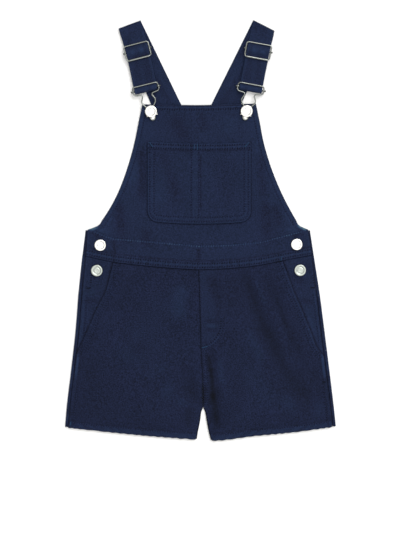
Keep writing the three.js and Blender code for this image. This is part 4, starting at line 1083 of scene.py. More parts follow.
def materials():
    """The materials, made once and shared by all pieces."""
    names = ("cotton_twill_woven_navy", "cotton_thread_spun_navy", "cotton_thread_spun_blue",
             "nickel_plate_bright", "nickel_plate_painted_dim", "nickel_plate_wire", "cotton_thread_spun_dark",
             "nickel_plate_painted_dark")
    sewing, metal = bpy.context.scene.dungarees_sewing, bpy.context.scene.dungarees_metal
    if not all(name in bpy.data.materials for name in names):
        cotton_twill()
        sewing_thread(names[1], tuple(sewing.thread_colour))
        sewing_thread(names[2], tuple(sewing.tack_colour))
        # The nickels are one plate: the bright colour for the buttons and the hooks' tongues, and copies
        # painted darker, as painted shade, for the lower side buttons, the wires and the knobbed bars
        nickel_plate(names[3], tuple(metal.bright_colour), metal.roughness)
        nickel_plate(names[4], tuple(metal.painted_dim_colour), metal.roughness * 1.5)
        nickel_plate(names[5], tuple(metal.wire_colour), metal.roughness)
        sewing_thread(names[6], tuple(c * 0.25 for c in sewing.thread_colour))
        # The darkest nickel, the wires' colour at 0.4, is painted shade for the knobbed bars
        nickel_plate(names[7], tuple(c * 0.4 for c in metal.wire_colour), metal.roughness * 1.3)
    keys = ("denim", "thread", "tack", "bright", "painted_dim", "wire", "dark", "painted_dark")
    return {key: bpy.data.materials[name] for key, name in zip(keys, names)}


def fold_shade_and_light(x, y):
    """Painted shade in the troughs and painted light on the ridges of the folds and creases, with the painted
    fold shades and paler patches added.
    """
    form = fold_height(x, y, MAIN_FOLDS)
    form = np.where(form < 0, 0.08, 0.03) * form + fold_height(x, y, CREASES, tapered=True) * 0.3
    return np.clip(form, -0.3, 0.2) + fold_height(x, y, SHADES, tapered=True)


def band_tone(away, start, end, height):
    """A pale band between two distances from an edge."""
    return height * ease((away - start) / 0.8) * (1 - ease((away - end) / 0.8))


def centre_line():
    return even(column_line(lambda y: sample(CENTRE, "y", "x", y), -50.9, CROTCH[1]), 6)


def front_tone(side):
    sign = INWARD[side]
    slash_line = even(column_line(lambda y: slash_x(side, y), -36, POCKET_FOOT_Y), 4)

    def tone(x, y):
        total = fold_shade_and_light(x, y)
        # Painted shadow along the waist seam, where the bib's edge lies over the shorts
        away, _ = nearest(even(row_line(waist_y, -152, 148), 6), x, y)
        total = total - 0.45 * bell(away, 1.0)
        # Painted shadow along the centre seam, where the fly's edge lies
        centre, _ = nearest(centre_line(), x, y)
        total = total - 0.62 * bell(centre, 0.8) * (y > CROTCH[1])
        if side == "right":
            fly = band_tone(centre, 1.2, 25, 0.07) * ease((y + 146) / 6)
            total = total + fly + band_tone(centre, 1.0, 6.5, 0.07) * (y < -152) * (y > CROTCH[1])
            foot, _ = nearest(even(cut(fly_row(28.6), 84, 0), 3), x, y)
            total = total + 0.12 * bell(foot, 2.1)
        slash, _ = nearest(slash_line, x, y)
        total = total + band_tone(slash, 0.6, 3.0, 0.05 if side == "left" else 0.1)
        ridge = sign * (x - outline_x(side, y)) - side_rim(side, y)
        bright = ease((-158 - y) / 8) * ease((y + 194) / 10) + 0.2 * ease((-160 - y) / 8)
        total = total + 0.26 * band_tone(ridge, 1.2, 4.2, 1.0) * bright - 0.2 * bell(ridge - 6, 1.2)
        # A dark line of painted shade at the panel's outer edge, along the seam with the back's rim
        total = total - 0.3 * bell(ridge, 0.8)
        # A paler band along the hem, with diagonal stripes of painted light and shade for the hem's roping,
        # and a dark line of painted shade at the step above the hem
        hem = y - hem_y(x)
        rope = np.sin((x + 1.4 * sign * hem) * math.tau / 13 + 3.4 * mottle(x, 0, 17, 31))
        uneven = 0.5 + 0.5 * mottle(x, 40, 22, 33)
        total = total + (0.12 + 0.12 * rope * uneven) * (1 - ease((hem - 7) / 2))
        total = total - 0.34 * bell(hem - HEM["depth"] - 0.5, 0.9) * (0.6 + 0.4 * mottle(x, 3, 12, 34))
        return total
    return tone


def bib_tone(x, y):
    total = fold_shade_and_light(x, y) + BIB_PALENESS
    waist = y - waist_y(x)
    # Painted shadow along the waist seam
    total = total - 0.45 * bell(waist, 0.9)
    # Pale bands between and below the waist rows: painted highlight on the raised fold
    band = 0.75 + 0.45 * mottle(x, 0, 34, 35)
    total = total + (band_tone(waist, 4.1, 6.8, 0.06) + band_tone(waist, 0.9, 2.0, 0.04)) * band
    # Painted shade at the step where the waist fold ends
    total = total - 0.2 * bell(waist - WAIST_FOLD["depth"] - 1.2, 1.2)
    top = bib_top_y(x) - y
    # Under the top edge: a dark line of painted shadow, then a pale band, then a faint dark line
    total = total - 0.4 * bell(top - 1.5, 0.6) + 0.2 * bell(top - 3.0, 0.7)
    total = total - 0.14 * bell(top - 4.4, 0.6)
    for side in SIDES:
        away, along = nearest(even(bib_edge(side), 4), x, y)
        total = total + band_tone(away, 0.3, 4.8, 0.05) * ease((along - 56) / 8)
        total = total + 0.05 * bell(away, 22) * ease((along - 40) / 20)
        corner = ease((along - 34) / 3) * ease((52 - along) / 9)
        wear_and_light = bell(away, 3.0) * (0.8 + 0.5 * mottle(x, y, 2.4, 36))
        total = total + 1.25 * wear_and_light * corner
        rub = bell(away - 7.5, 1.6) * ease((along - 42) / 6) * ease((74 - along) / 12)
        total = total + 0.09 * rub - 0.12 * bell(away - 4.2, 1.4) * corner
        # Along the lower sides: a pale line inside, and a dark line of painted shadow at the bib's edge
        strip = 1 - ease((along - 30) / 3)
        total = total + (0.14 * bell(away - 2.0, 0.8) - 0.7 * bell(away, 0.8)) * strip
    # Painted shadow around the pocket's edge
    pocket, _ = nearest(even(pocket_outline(), 5), x, y)
    return total - 0.45 * bell(pocket, 1.1)


def pocket_tone(x, y):
    total = fold_shade_and_light(x, y) + BIB_PALENESS
    outline, _ = nearest(even(pocket_outline(), 5), x, y)
    total = total + band_tone(outline, 0.5, 1.7, 0.06) + band_tone(outline, 3.8, 7.4, 0.03)
    mouth = sagged(BIB_POCKET["top"], x) - y
    total = total + band_tone(mouth, 0.4, 1.5, 0.1) + band_tone(mouth, 3.4, 6.2, 0.04)
    # Painted shade at the step where the mouth's hem ends
    total = total - 0.15 * bell(mouth - POCKET_HEM["depth"] - 0.7, 1.0)
    # Painted shade in the pen slot's fold and at its tuck; the slot itself is drawn a little paler
    fold = bell(x - PEN_FOLD_X, 0.65) * ease((y - 22) / 10) * ease((100 - y) / 8)
    slot = band_tone(x - PEN_ROWS_X[0], 0.7, 7.4, 0.04) * ease((y - 14) / 4)
    tuck = 0.34 * bell(x - PEN_ROWS_X[0], 1.1) * ease((y - 90) / 10)
    return total - 0.45 * fold + slot - tuck


def hip_tone(side):
    sign = INWARD[side]

    def tone(x, y):
        total = fold_shade_and_light(x, y) + HIP_PALENESS
        # Painted shadow along the slanted edge of the front panel that lies over the hip piece
        inside = np.abs(x - slash_x(side, y))
        total = total - 0.6 * bell(inside, 1.7)
        edge = sign * (x - outline_x(side, y)) - side_rim(side, y)
        # Below the placket a pale band, and a dark line of painted shade at the outer edge, along the seam
        # with the back's rim
        total = total + band_tone(edge, 0.6, 4.6, 0.08) * (y < -78) - 0.5 * bell(edge, 0.9)
        total = total + 0.12 * bell(edge - 2.0, 0.8) * (y > -78)
        return total
    return tone


def build_front(side, made_of):
    sign = INWARD[side]
    foot_x = float(outline_x(side, -255) + sign * (side_rim(side, -255) + SEAM_GAP))
    outer_top = slash_top(side) - SEAM_GAP / 2
    outer = column_line(lambda y: slash_x(side, y), float(hem_y(foot_x)), outer_top, 260)

    def inner_x(y):
        below = ease((CROTCH[1] - y) / 4.2)
        leg = sample(INNER_LEG, "y", side, y) - sign * lerp(SEAM_GAP, LEG_RIM + SEAM_GAP, below)
        return np.where(y > CROTCH[1], sample(CENTRE, "y", "x", y) - sign * CENTRE_GAP / 2, leg)

    hem_inner_x = float(INNER_LEG[side][-1]) - sign * (LEG_RIM + SEAM_GAP)
    waist_inner_x = CENTRE["x"][0] - sign * CENTRE_GAP / 2
    inner = column_line(inner_x, float(hem_y(hem_inner_x)), float(waist_y(waist_inner_x)) - SEAM_GAP / 2, 260)
    left, right = (outer, inner) if side == "left" else (inner, outer)
    bottom = row_line(hem_y, left[0, 0], right[0, 0], 400)
    top = row_line(lambda x: waist_y(x) - SEAM_GAP / 2, left[-1, 0], right[-1, 0], 200)
    panel = f"front_{side}"
    finish = sewn_surface(panel, front_over(side))
    edges = [by_share(line) for line in (bottom, top, left, right)]
    made = cloth_wall(panel, edges, (172, 226), lambda x, y: front_base(x, y) + pocket_lift(x, y),
                      finish, made_of["denim"], front_tone(side))
    threads = sew(panel, finish, made_of)
    sheet_piece(made, [panel], threads)


def build_hip(side, made_of):
    sign = INWARD[side]
    top_y = slash_top(side) - SEAM_GAP / 2

    def inner_x(y):
        tucked = ease((top_y - y - POCKET_TUCK["start"]) / POCKET_TUCK["run"])
        reach = lerp(-SEAM_GAP, POCKET_TUCK["reach"], tucked)
        return sample(SLASH, "y", side, y) + sign * reach

    outer_x = lambda y: outline_x(side, y) + sign * (side_rim(side, y) + SEAM_GAP)
    outer_top = float(waist_y(outer_x(BACK_WAIST_Y))) - SEAM_GAP / 2
    outer = column_line(outer_x, HIP_FOOT_Y, outer_top, 120)
    inner = column_line(inner_x, HIP_FOOT_Y, top_y, 120)
    left, right = (outer, inner) if side == "left" else (inner, outer)
    bottom = np.stack([left[0], right[0]])
    top = row_line(lambda x: waist_y(x) - SEAM_GAP / 2, left[-1, 0], right[-1, 0], 60)
    panel = f"hip_{side}"
    finish = sewn_surface(panel, hip_over)
    edges = [by_share(line) for line in (bottom, top, left, right)]
    made = cloth_wall(panel, edges, (40, 138), front_base, finish, made_of["denim"], hip_tone(side), stride=3)
    threads = sew(panel, finish, made_of)
    sheet_piece(made, [panel], threads)


def build_bib(made_of):
    left, right = bib_edge("left"), bib_edge("right")
    bottom = row_line(lambda x: waist_y(x) + SEAM_GAP / 2, left[0, 0], right[0, 0], 240)
    top = row_line(bib_top_y, left[-1, 0], right[-1, 0], 80)
    finish = sewn_surface("bib", bib_over)
    edges = [by_share(line) for line in (bottom, top, left, right)]
    made = cloth_wall("bib", edges, (240, 222), front_base, finish, made_of["denim"], bib_tone)
    threads = sew("bib", finish, made_of)
    sheet_piece(made, ["bib"], threads)


def build_pocket(made_of):
    p = BIB_POCKET
    outline = pocket_outline()
    diagonal = p["corner"] * (1 - math.sqrt(0.5))
    corners = ((p["left"], p["bottom"][0], 1), (p["right"], p["bottom"][2], -1))
    low_left, low_right = (
        int(np.argmin(np.hypot(outline[:, 0] - x - sign * diagonal, outline[:, 1] - y - diagonal)))
        for x, y, sign in corners)
    left = outline[:low_left + 1][::-1]
    bottom = outline[low_left:low_right + 1]
    right = outline[low_right:]
    top = row_line(lambda x: sagged(p["top"], x), p["left"], p["right"], 90)
    finish = sewn_surface("bib_pocket", pocket_over)
    edges = [by_share(line) for line in (bottom, top, left, right)]
    made = cloth_wall("bib_pocket", edges, (134, 104), lambda x, y: front_base(x, y) + LAYER, finish,
                      made_of["denim"], pocket_tone, edge_wear=0.16)
    threads = sew("bib_pocket", finish, made_of)
    sheet_piece(made, ["bib_pocket"], threads)


def back_height(side):
    """Top of a back panel and its soft creases: flat, with the cloth turned up at the side and the leg edge.
    """
    sign = INWARD[side]

    def heights(x, y):
        edge = np.maximum(sign * (x - sample(SIDE, "y", side, y)), 0)
        rim = (1 - ease((edge - side_rim(side, y) + STEP_RUN) / STEP_RUN)) * ease((RIM_START_Y - y + 3) / 6)
        leg = leg_gap(x, y)
        leg_rim = (1 - ease((leg - LEG_RIM + 0.4) / 0.4)) * ease((-234 - y) / 4)
        rise = RIM_TOP - CLOTH
        high = CLOTH + rise * np.maximum(rim, leg_rim)
        soft = fold_height(x, y, BACK_CREASES, tapered=True) * ease(edge / 20)
        return high - 0.7 * rim * (1 - ease(edge / 1.1)), soft
    return heights


def build_back(side, made_of):
    sign = INWARD[side]
    top_y = BACK_WAIST_Y - BACK_GAP

    def inner_x(y):
        centre = sample(CENTRE, "y", "x", y) - sign * BACK_GAP / 2
        return np.where(y > CROTCH[1], centre, sample(INNER_LEG, "y", side, y))

    outer_foot = float(sample(SIDE, "y", side, -255.2))
    inner_foot = float(INNER_LEG[side][-1])
    outer = column_line(lambda y: sample(SIDE, "y", side, y), float(hem_y(outer_foot)) + HEM_TUCK, top_y, 120)
    inner = column_line(inner_x, float(hem_y(inner_foot)) + HEM_TUCK, top_y, 120)
    left, right = (outer, inner) if side == "left" else (inner, outer)
    bottom = row_line(lambda x: hem_y(x) + HEM_TUCK, left[0, 0], right[0, 0], 400)
    top = row_line(lambda x: np.full_like(x, top_y), left[-1, 0], right[-1, 0], 40)
    heights = back_height(side)

    def finish(x, y):
        high, soft = heights(x, y)
        edge = sign * (x - sample(SIDE, "y", side, y))
        rubbed = 0.22 * (1 - ease((edge - 0.5) / 1.0))
        shaded = 0.4 * ease((edge - side_rim(side, y) + 1) / 1.2)
        return high + soft * 0.3, 0.06 + rubbed - shaded + 0.1 * mottle(x, y, 9, 41)

    edges = [by_share(line) for line in (bottom, top, left, right)]
    rim_steps = np.array([0, 0.3, 0.7, 1.2, 1.9, 2.6, 3.0, 3.4, 3.8, 4.2, 4.6, 5.2]) / 172
    made = back_wall(f"back_{side}", edges, finish, side, rim_steps, made_of["denim"])
    sheet_piece(made, [f"back_{side}"])


def back_wall(name, edges, finish, side, rim_steps, material):
    """A back panel, with extra grid lines for its turned-up rims."""
    inside = np.linspace(rim_steps[-1], 1 - 1.6 / 172, 74)[1:]
    legs = 1 - np.array([1.2, 0.9, 0.6, 0.3, 0]) / 172
    across = np.concatenate([rim_steps, inside, legs])
    if side == "right":
        across = (1 - across)[::-1]
    along = shares(96, 222)
    grid = panel_grid(*edges, across, along)
    x, y = grid[..., 0], grid[..., 1]
    high, tone = finish(x, y)
    low = np.zeros_like(high)
    outer = 0 if side == "left" else -1
    low[:, outer] = 0.6
    high = high - 0.3 * edge_rings(len(across), len(along))
    return closed_wall(name, x, y, high, low, tone, 1, material)


def build_back_bib(made_of):
    """The plain back bib with its two side corners, hidden but for its edges."""
    def edge(side):
        return np.stack([BACK_BIB[side], BACK_BIB["y"]], axis=1).astype(float)

    left, right = edge("left"), edge("right")
    bottom = np.stack([left[0], right[0]])
    top = np.concatenate([left[1:], right[:0:-1]])
    columns, rows = shares(220, 300), shares(60, 120)
    grid = panel_grid(*[by_share(line) for line in (bottom, top, left[:2], right[:2])], columns, rows)
    x, y = grid[..., 0], grid[..., 1]
    ring = edge_rings(len(columns), len(rows))
    high = CLOTH - 0.3 * ring
    made = closed_wall("back_bib", x, y, high, np.zeros_like(high), 0.35 * (ring > 0), 3, made_of["denim"])
    sheet_piece(made, ["back_bib"])


def turned(degrees):
    angle = math.radians(degrees)
    return np.array([math.cos(angle), math.sin(angle)])


def strap_stations(side):
    """Places along a strap: its middle, and half its width as a vector."""
    strap = STRAPS[side]
    half = STRAP_CLOTH / 2
    foot, foot_outer = (np.array(p, float) for p in strap["foot"])
    crease_in, crease_out = (np.array(p, float) for p in strap["crease"])
    crease, crease_half = (crease_in + crease_out) / 2, (crease_in - crease_out) / 2
    foot_half = (foot - foot_outer) / 2
    foot_middle = (foot + foot_outer) / 2
    inward = np.sign(foot_half[0])
    slide = np.array(strap["slide"][:2])
    hook = np.array(strap["hook"][:2])
    tilt = turned(strap["hook"][2])
    hook_up = np.array([-tilt[1], tilt[0]])
    cross = hook + hook_up * HOOK["cross_bar"]
    upper = np.linalg.norm(slide - crease)
    length = upper + np.linalg.norm(cross - slide)
    front_half = turned(strap["slide"][2]) * inward * STRAP_HALF
    hook_half = tilt * inward * STRAP_HALF
    places = []

    def add(place, z, half_width):
        places.append((np.array([place[0], place[1], z]), np.array([half_width[0], half_width[1], 0.0])))

    def at(distance):
        if distance < upper:
            return lerp(crease, slide, distance / upper)
        return lerp(slide, cross, (distance - upper) / (length - upper))

    fold = (STRAP_LAY["z"][0] - half) / 2
    beyond = np.array([-crease_half[1], crease_half[0]]) * inward
    beyond /= np.linalg.norm(beyond)
    fold_centre = crease - beyond * (fold + half)
    for share in np.linspace(0, 1, 24):
        add(lerp(foot_middle, fold_centre, share), half, lerp(foot_half, crease_half, share))
    for share in np.linspace(0, 1, 9)[1:]:
        angle = share * math.pi
        add(fold_centre + beyond * fold * math.sin(angle), half + fold * (1 - math.cos(angle)), crease_half)
    lay_past, lay_z = np.array(STRAP_LAY["past"], float), np.array(STRAP_LAY["z"])
    for past in np.concatenate([np.arange(-27, -15, 3), np.arange(-15, 12, 1.0), np.arange(12, 36, 3)]):
        z = float(sample({"past": lay_past, "z": lay_z}, "past", "z", past))
        share = float(ease((upper + past) / (upper + lay_past[3])))
        to_hook = float(ease(past / (length - upper)))
        add(at(upper + past), z, lerp(lerp(crease_half, front_half, share), hook_half, to_hook))
    loop = HOOK["bar"] + SEAM_GAP + half + 0.1
    for up, z in STRAP_OVER_HOOK:
        add(cross + hook_up * up, z, hook_half)
    add(cross, HOOK["cross_z"] + loop, hook_half)
    for share in np.linspace(0, 1, 13):
        angle = share * math.pi
        low = -1.2 - loop * math.sin(angle)
        add(cross + hook_up * low, HOOK["cross_z"] + loop * math.cos(angle), hook_half)
    return_z = STRAP_LAYER + half + 0.05
    add(cross + hook_up * 2, HOOK["cross_z"] - loop, hook_half)
    add(cross + hook_up * 8, return_z, hook_half)
    for back in (23, 18, 13, 8):
        add(at(upper + back), return_z, hook_half if back > 15 else front_half)
    add(at(upper), 3, front_half)
    return places


# Section of a strap across its width: place from -1 to 1, and half thickness share
STRAP_SECTION = ((-1, 0.25), (-0.985, 0.8), (-0.95, 1.0), (-0.86, 1.05), (-0.76, 0.97), (-0.6, 0.98),
                 (-0.45, 1.0), (-0.3, 1.02), (-0.15, 1.0), (0, 0.98), (0.15, 1.0), (0.3, 1.02),
                 (0.45, 1.0), (0.6, 0.98), (0.76, 0.97), (0.86, 1.05), (0.95, 1.0), (0.985, 0.8), (1, 0.25))


def strap_frames(places):
    """For each station: middle, half width, direction ahead and outward normal."""
    frames = []
    for i, (middle, half) in enumerate(places):
        before = places[max(i - 1, 0)][0]
        after = places[min(i + 1, len(places) - 1)][0]
        ahead = after - before
        ahead = ahead / np.linalg.norm(ahead)
        out = np.cross(half, ahead)
        frames.append((middle, half, ahead, out / np.linalg.norm(out)))
    return frames


def smooth_places(places, rounds=1):
    """Adds a place between each two, on the curve through their neighbours."""
    for _ in range(rounds):
        denser = []
        for i in range(len(places) - 1):
            p0 = places[max(i - 1, 0)]
            p1, p2 = places[i], places[i + 1]
            p3 = places[min(i + 2, len(places) - 1)]
            denser.append(p1)
            denser.append(tuple((9 * (b + c) - a - d) / 16 for a, b, c, d in zip(p0, p1, p2, p3)))
        places = denser + [places[-1]]
    return places


def build_strap(side, made_of):
    frames = strap_frames(smooth_places(strap_stations(side)))
    section = [(a, h) for a, h in STRAP_SECTION] + [(a, -h) for a, h in reversed(STRAP_SECTION)]
    slide = np.array(STRAPS[side]["slide"][:2])
    hook = np.array(STRAPS[side]["hook"][:2])
    runs = np.cumsum([0] + [np.linalg.norm(b[0] - a[0]) for a, b in zip(frames[:-1], frames[1:])])
    points, tone = [], []
    for run, (middle, half, ahead, out) in zip(runs, frames):
        on_bar = math.exp(-((np.linalg.norm(middle[:2] - slide) / 3.4) ** 2)) * (middle[2] > 5)
        past_bar = np.linalg.norm(middle[:2] - hook) - HOOK["cross_bar"]
        at_hook = math.exp(-((past_bar / 4) ** 2)) * (middle[2] > 4.5)
        for across, high in section:
            uneven = 0.1 * mottle(run, across * 14 + 60, 16, 51) + 0.05 * mottle(run, across * 14, 5, 52)
            rise = STRAP_CLOTH / 2 * high + float(uneven) * np.sign(high)
            points.append(middle + half * across + out * rise)
            edge = 0.14 if abs(across) > 0.97 else 0.05 if abs(across) > 0.84 else 0.0
            spots = math.exp(-(((across + 0.42) / 0.26) ** 2)) + math.exp(-(((across - 0.36) / 0.24) ** 2))
            streak = 0.07 * float(mottle(across * 14, run / 7, 3.2, 53))
            tone.append(BIB_PALENESS + edge + streak + 0.3 * on_bar * spots + 0.12 * at_hook)
    count = len(section)
    faces = []
    for i in range(len(frames) - 1):
        for k in range(count):
            a, b = i * count + k, i * count + (k + 1) % count
            faces.append([a, b, b + count, a + count])
    last = (len(frames) - 1) * count
    faces.append(list(range(count))[::-1])
    faces.append([last + k for k in range(count)])
    points = np.array(points)
    points[:, 2] = np.maximum(points[:, 2], 0)
    made = new_object(f"strap_{side}", points, face_out(points, faces), made_of["denim"])
    set_tone(made, tone)
    sheet_piece(made, [f"strap_{side}"])


def face_out(points, faces):
    """Turns all faces over if a closed body is inside out."""
    points = np.asarray(points)
    volume = 0.0
    for face in faces:
        a = points[face[0]]
        for i in range(1, len(face) - 1):
            volume += a @ np.cross(points[face[i]], points[face[i + 1]])
    return faces if volume > 0 else [face[::-1] for face in faces]


def revolve(profile, steps, at=(0, 0, 0)):
    """A closed body turned round +Z from a profile of (radius, z) that starts and ends on the axis."""
    points, faces = [], []
    ring_of = []
    for radius, z in profile:
        if radius < 1e-6:
            ring_of.append([len(points)])
            points.append((at[0], at[1], at[2] + z))
            continue
        ring_of.append(list(range(len(points), len(points) + steps)))
        for k in range(steps):
            angle = k * math.tau / steps
            points.append((at[0] + radius * math.cos(angle), at[1] + radius * math.sin(angle), at[2] + z))
    for a, b in zip(ring_of[:-1], ring_of[1:]):
        for k in range(steps):
            n = (k + 1) % steps
            corners = [a[k % len(a)], a[n % len(a)], b[n % len(b)], b[k % len(b)]]
            faces.append(list(dict.fromkeys(corners)))
    return np.array(points, float), faces


def sweep(points, radius, sides, closed):
    """A round wire along a line of points. radius is one value, or one for each point."""
    points = np.asarray(points, float)
    count = len(points)
    radii = np.broadcast_to(radius, (count,))
    if closed:
        ahead = np.roll(points, -1, axis=0) - np.roll(points, 1, axis=0)
    else:
        ahead = np.gradient(points, axis=0)
    ahead /= np.linalg.norm(ahead, axis=1)[:, None]
    aside = np.cross(ahead, (0, 0, 1))
    aside /= np.linalg.norm(aside, axis=1)[:, None]
    up = np.cross(aside, ahead)
    angles = np.arange(sides) * math.tau / sides
    rings = points[:, None, :] + radii[:, None, None] * (
        aside[:, None, :] * np.cos(angles)[None, :, None] + up[:, None, :] * np.sin(angles)[None, :, None])
    found = rings.reshape(-1, 3)
    faces = []
    for i in range(count if closed else count - 1):
        n = (i + 1) % count
        for k in range(sides):
            m = (k + 1) % sides
            faces.append([i * sides + k, i * sides + m, n * sides + m, n * sides + k])
    if not closed:
        faces.append(list(range(sides))[::-1])
        faces.append([(count - 1) * sides + k for k in range(sides)])
    return found, faces


def curve_through(points, steps, closed):
    """A smooth line through points, with even steps."""
    points = np.asarray(points, float)
    n = len(points)
    dense = []
    spans = n if closed else n - 1
    for i in range(spans):
        index = [i - 1, i, i + 1, i + 2]
        p = [points[k % n] if closed else points[min(max(k, 0), n - 1)] for k in index]
        for t in np.linspace(0, 1, 12, endpoint=False):
            square = 2 * p[0] - 5 * p[1] + 4 * p[2] - p[3]
            cube = 3 * p[1] - p[0] - 3 * p[2] + p[3]
            dense.append(0.5 * (2 * p[1] + (p[2] - p[0]) * t + square * t ** 2 + cube * t ** 3))
    dense.append(points[0] if closed else points[-1])
    line = even(np.array(dense), np.sum(np.linalg.norm(np.diff(dense, axis=0), axis=1)) / steps)
    return line[:-1] if closed else line


def knobbed_bar(radius, knob, reach, y, z):
    """A bar along X with a rounded knob at each end."""
    profile = [(0, -reach)]
    for angle in np.linspace(-80, 70, 8):
        turn = math.radians(angle)
        profile.append((knob * math.cos(turn), -reach + knob + knob * math.sin(turn)))
    profile.append((radius, -reach + 2 * knob))
    profile += [(r, -at) for r, at in reversed(profile)]
    points, faces = revolve(profile, 20)
    points = points[:, [2, 0, 1]] + np.array([0, y, z])
    return points, faces


def metal_object(name, bodies, finishes, place, tilt):
    """Joins closed bodies into one metal piece, turned and set in its place, each with its finish."""
    points, faces, finish_of = [], [], []
    kinds = list(dict.fromkeys(finishes))
    for (body_points, body_faces), finish in zip(bodies, finishes):
        start = len(points)
        points += [tuple(p) for p in body_points]
        faces += [[i + start for i in face] for face in face_out(body_points, body_faces)]
        finish_of += [kinds.index(finish)] * len(body_faces)
    ahead = turned(tilt)
    grid = np.array(points)
    x = grid[:, 0] * ahead[0] - grid[:, 1] * ahead[1] + place[0]
    y = grid[:, 0] * ahead[1] + grid[:, 1] * ahead[0] + place[1]
    made = new_object(name, np.stack([x, y, grid[:, 2]], axis=1), faces, kinds[0])
    for kind in kinds[1:]:
        made.data.materials.append(kind)
    made.data.polygons.foreach_set("material_index", finish_of)
    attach(made, "root")
    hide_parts(name)
    return made


def rounded_rectangle(width, height, corner, z):
    """Points of a rounded rectangle, anticlockwise."""
    points = []
    for cx, cy, start in ((1, -1, -90), (1, 1, 0), (-1, 1, 90), (-1, -1, 180)):
        for angle in np.linspace(start, start + 90, 9):
            turn = math.radians(angle)
            points.append((cx * (width / 2 - corner) + corner * math.cos(turn),
                           cy * (height / 2 - corner) + corner * math.sin(turn), z))
    return np.array(points)


def build_slide(side, made_of):
    """The slide buckle: a wire frame, thicker along its lower bar, with a knobbed centre bar."""
    s = SLIDE
    x, y, tilt = STRAPS[side]["slide"]
    loop = rounded_rectangle(s["width"], s["height"], s["corner"], s["z"])
    loop = even(np.concatenate([loop, loop[:1]]), 0.7)[:-1]
    low = 1 - ease((loop[:, 1] + s["height"] / 2) / 1.5)
    flat = low * (1 - ease((np.abs(loop[:, 0]) - s["width"] / 2 + 3.4) / 1.5))
    frame_wire = sweep(loop, WIRE + (s["lower_bar"] - WIRE) * flat, 16, True)
    bar = knobbed_bar(s["bar"], s["knob"], s["knob_reach"], s["bar_above"], s["bar_z"])
    # The knobbed centre bar takes the darkest nickel, painted shade
    finishes = [made_of["wire"], made_of["painted_dark"]]
    metal_object(f"slide_{side}", [frame_wire, bar], finishes, (x, y), tilt)


def build_hook(side, made_of):
    """The hook: a bent wire loop, its knobbed cross bar, the pressed tongue and two lugs."""
    h = HOOK
    x, y, tilt = STRAPS[side]["hook"]
    right = [tuple(row) for row in HOOK_WIRE]
    foot = [(0, -h["foot"], h["neck_z"])]
    left = [(-a, u, z) for a, u, z in reversed(HOOK_WIRE[1:])]
    wire = sweep(curve_through(right + foot + left, 260, True), WIRE, 14, True)
    bar = knobbed_bar(h["bar"], h["knob"], h["knob_reach"], h["cross_bar"], h["cross_z"])
    tongue = revolve(TONGUE, 36, (0, -8.7, h["neck_z"]))
    bodies = [wire, bar, tongue]
    # The knobbed cross bar takes the darkest nickel, painted shade
    finishes = [made_of["wire"], made_of["painted_dark"], made_of["bright"]]
    for sign in (-1, 1):
        collar_line = np.array([[sign * (h["reach"] - 1.05), h["cross_bar"], h["cross_z"]],
                                [sign * (h["reach"] + 1.05), h["cross_bar"], h["cross_z"]]])
        collar = even(collar_line, 0.3)
        swell = 1.8 * (1 - 0.25 * np.linspace(-1, 1, len(collar)) ** 4)
        bodies.append(sweep(collar, swell, 18, False))
        lug_line = even(np.array([[sign * 3.6, -4.9, h["neck_z"]], [sign * 7.3, -6.5, h["neck_z"]]]), 0.4)
        swell = 1.15 * np.sqrt(np.clip(1 - np.linspace(-0.55, 0.97, len(lug_line)) ** 4, 0.05, 1))
        bodies.append(sweep(lug_line, swell, 14, False))
        finishes += [made_of["wire"], made_of["bright"]]
    metal_object(f"hook_{side}", bodies, finishes, (x, y), tilt)


def button_profile(radius, neck, foot_z, head_z, thick, dip):
    """Half section of a pressed button: rolled rim, a ring-shaped dip and a nearly flat middle."""
    top = head_z + thick
    rim_foot = [(radius * share, head_z + rise) for share, rise in RIM_FOOT]
    rim_top = [(radius * share, top - fall) for share, fall in RIM_TOP_TURN]
    face = [(radius * share, top - 0.1 - dip * depth) for share, depth in BUTTON_FACE]
    return [(0, foot_z), (neck, foot_z), (neck, head_z)] + rim_foot + rim_top + face


def build_button(name, x, y, foot_z, head_z, shape, dip, material):
    profile = button_profile(shape["radius"], shape["neck"], foot_z, head_z, shape["thick"], dip)
    metal_object(name, [revolve(profile, 72)], [material], (x, y), 0)


def colour_setting(name, description, code):
    """A colour that a user may change, from its sRGB hex value."""
    return FloatVectorProperty(
        name=name, description=description, subtype="COLOR", size=3, min=0, max=1, default=linear(code))


class DungareesCloth(bpy.types.PropertyGroup):
    """Sizes and colours of the denim."""
    colour: colour_setting(
        "Navy", "Colour of the dyed twill where it is lightest", "#1e2643")
    deep_colour: colour_setting(
        "Deep navy", "Colour of the darker blotches", "#0c1121")
    # Paler colour for rubbed edges and for the painted highlights on ridges, puckers and the bands between
    # sewn rows
    wear_and_highlight_colour: colour_setting(
        "Worn edges and painted highlights", "Colour where edges have rubbed pale, and of the painted highlights on ridges and puckers", "#2d4368")
    faded_colour: colour_setting(
        "Faded corners", "Colour where the cloth has rubbed palest", "#4d6a76")
    # Near-black colour for the painted shade in pits, seam lines and fold bottoms, also used for the twill's
    # valleys
    twill_and_painted_shade_colour: colour_setting(
        "Painted shade", "Colour of the painted shade in the sewing's pits, seam lines and fold bottoms, and of the twill's valleys", "#07090f")
    twill_spacing: FloatProperty(
        name="Twill spacing", description="Distance between two diagonal lines of the weave",
        default=0.0015, min=0.0003, max=0.005, unit="LENGTH", precision=5)
    crease_depth: FloatProperty(
        name="Creases", description="How strong the small creases are, as a share of the usual",
        default=1.0, min=0, max=2, subtype="FACTOR")
    mesh_step: FloatProperty(
        name="Mesh step", description="Distance between two points of the cloth's mesh",
        default=0.00095, min=0.0008, max=0.01, unit="LENGTH", precision=5)


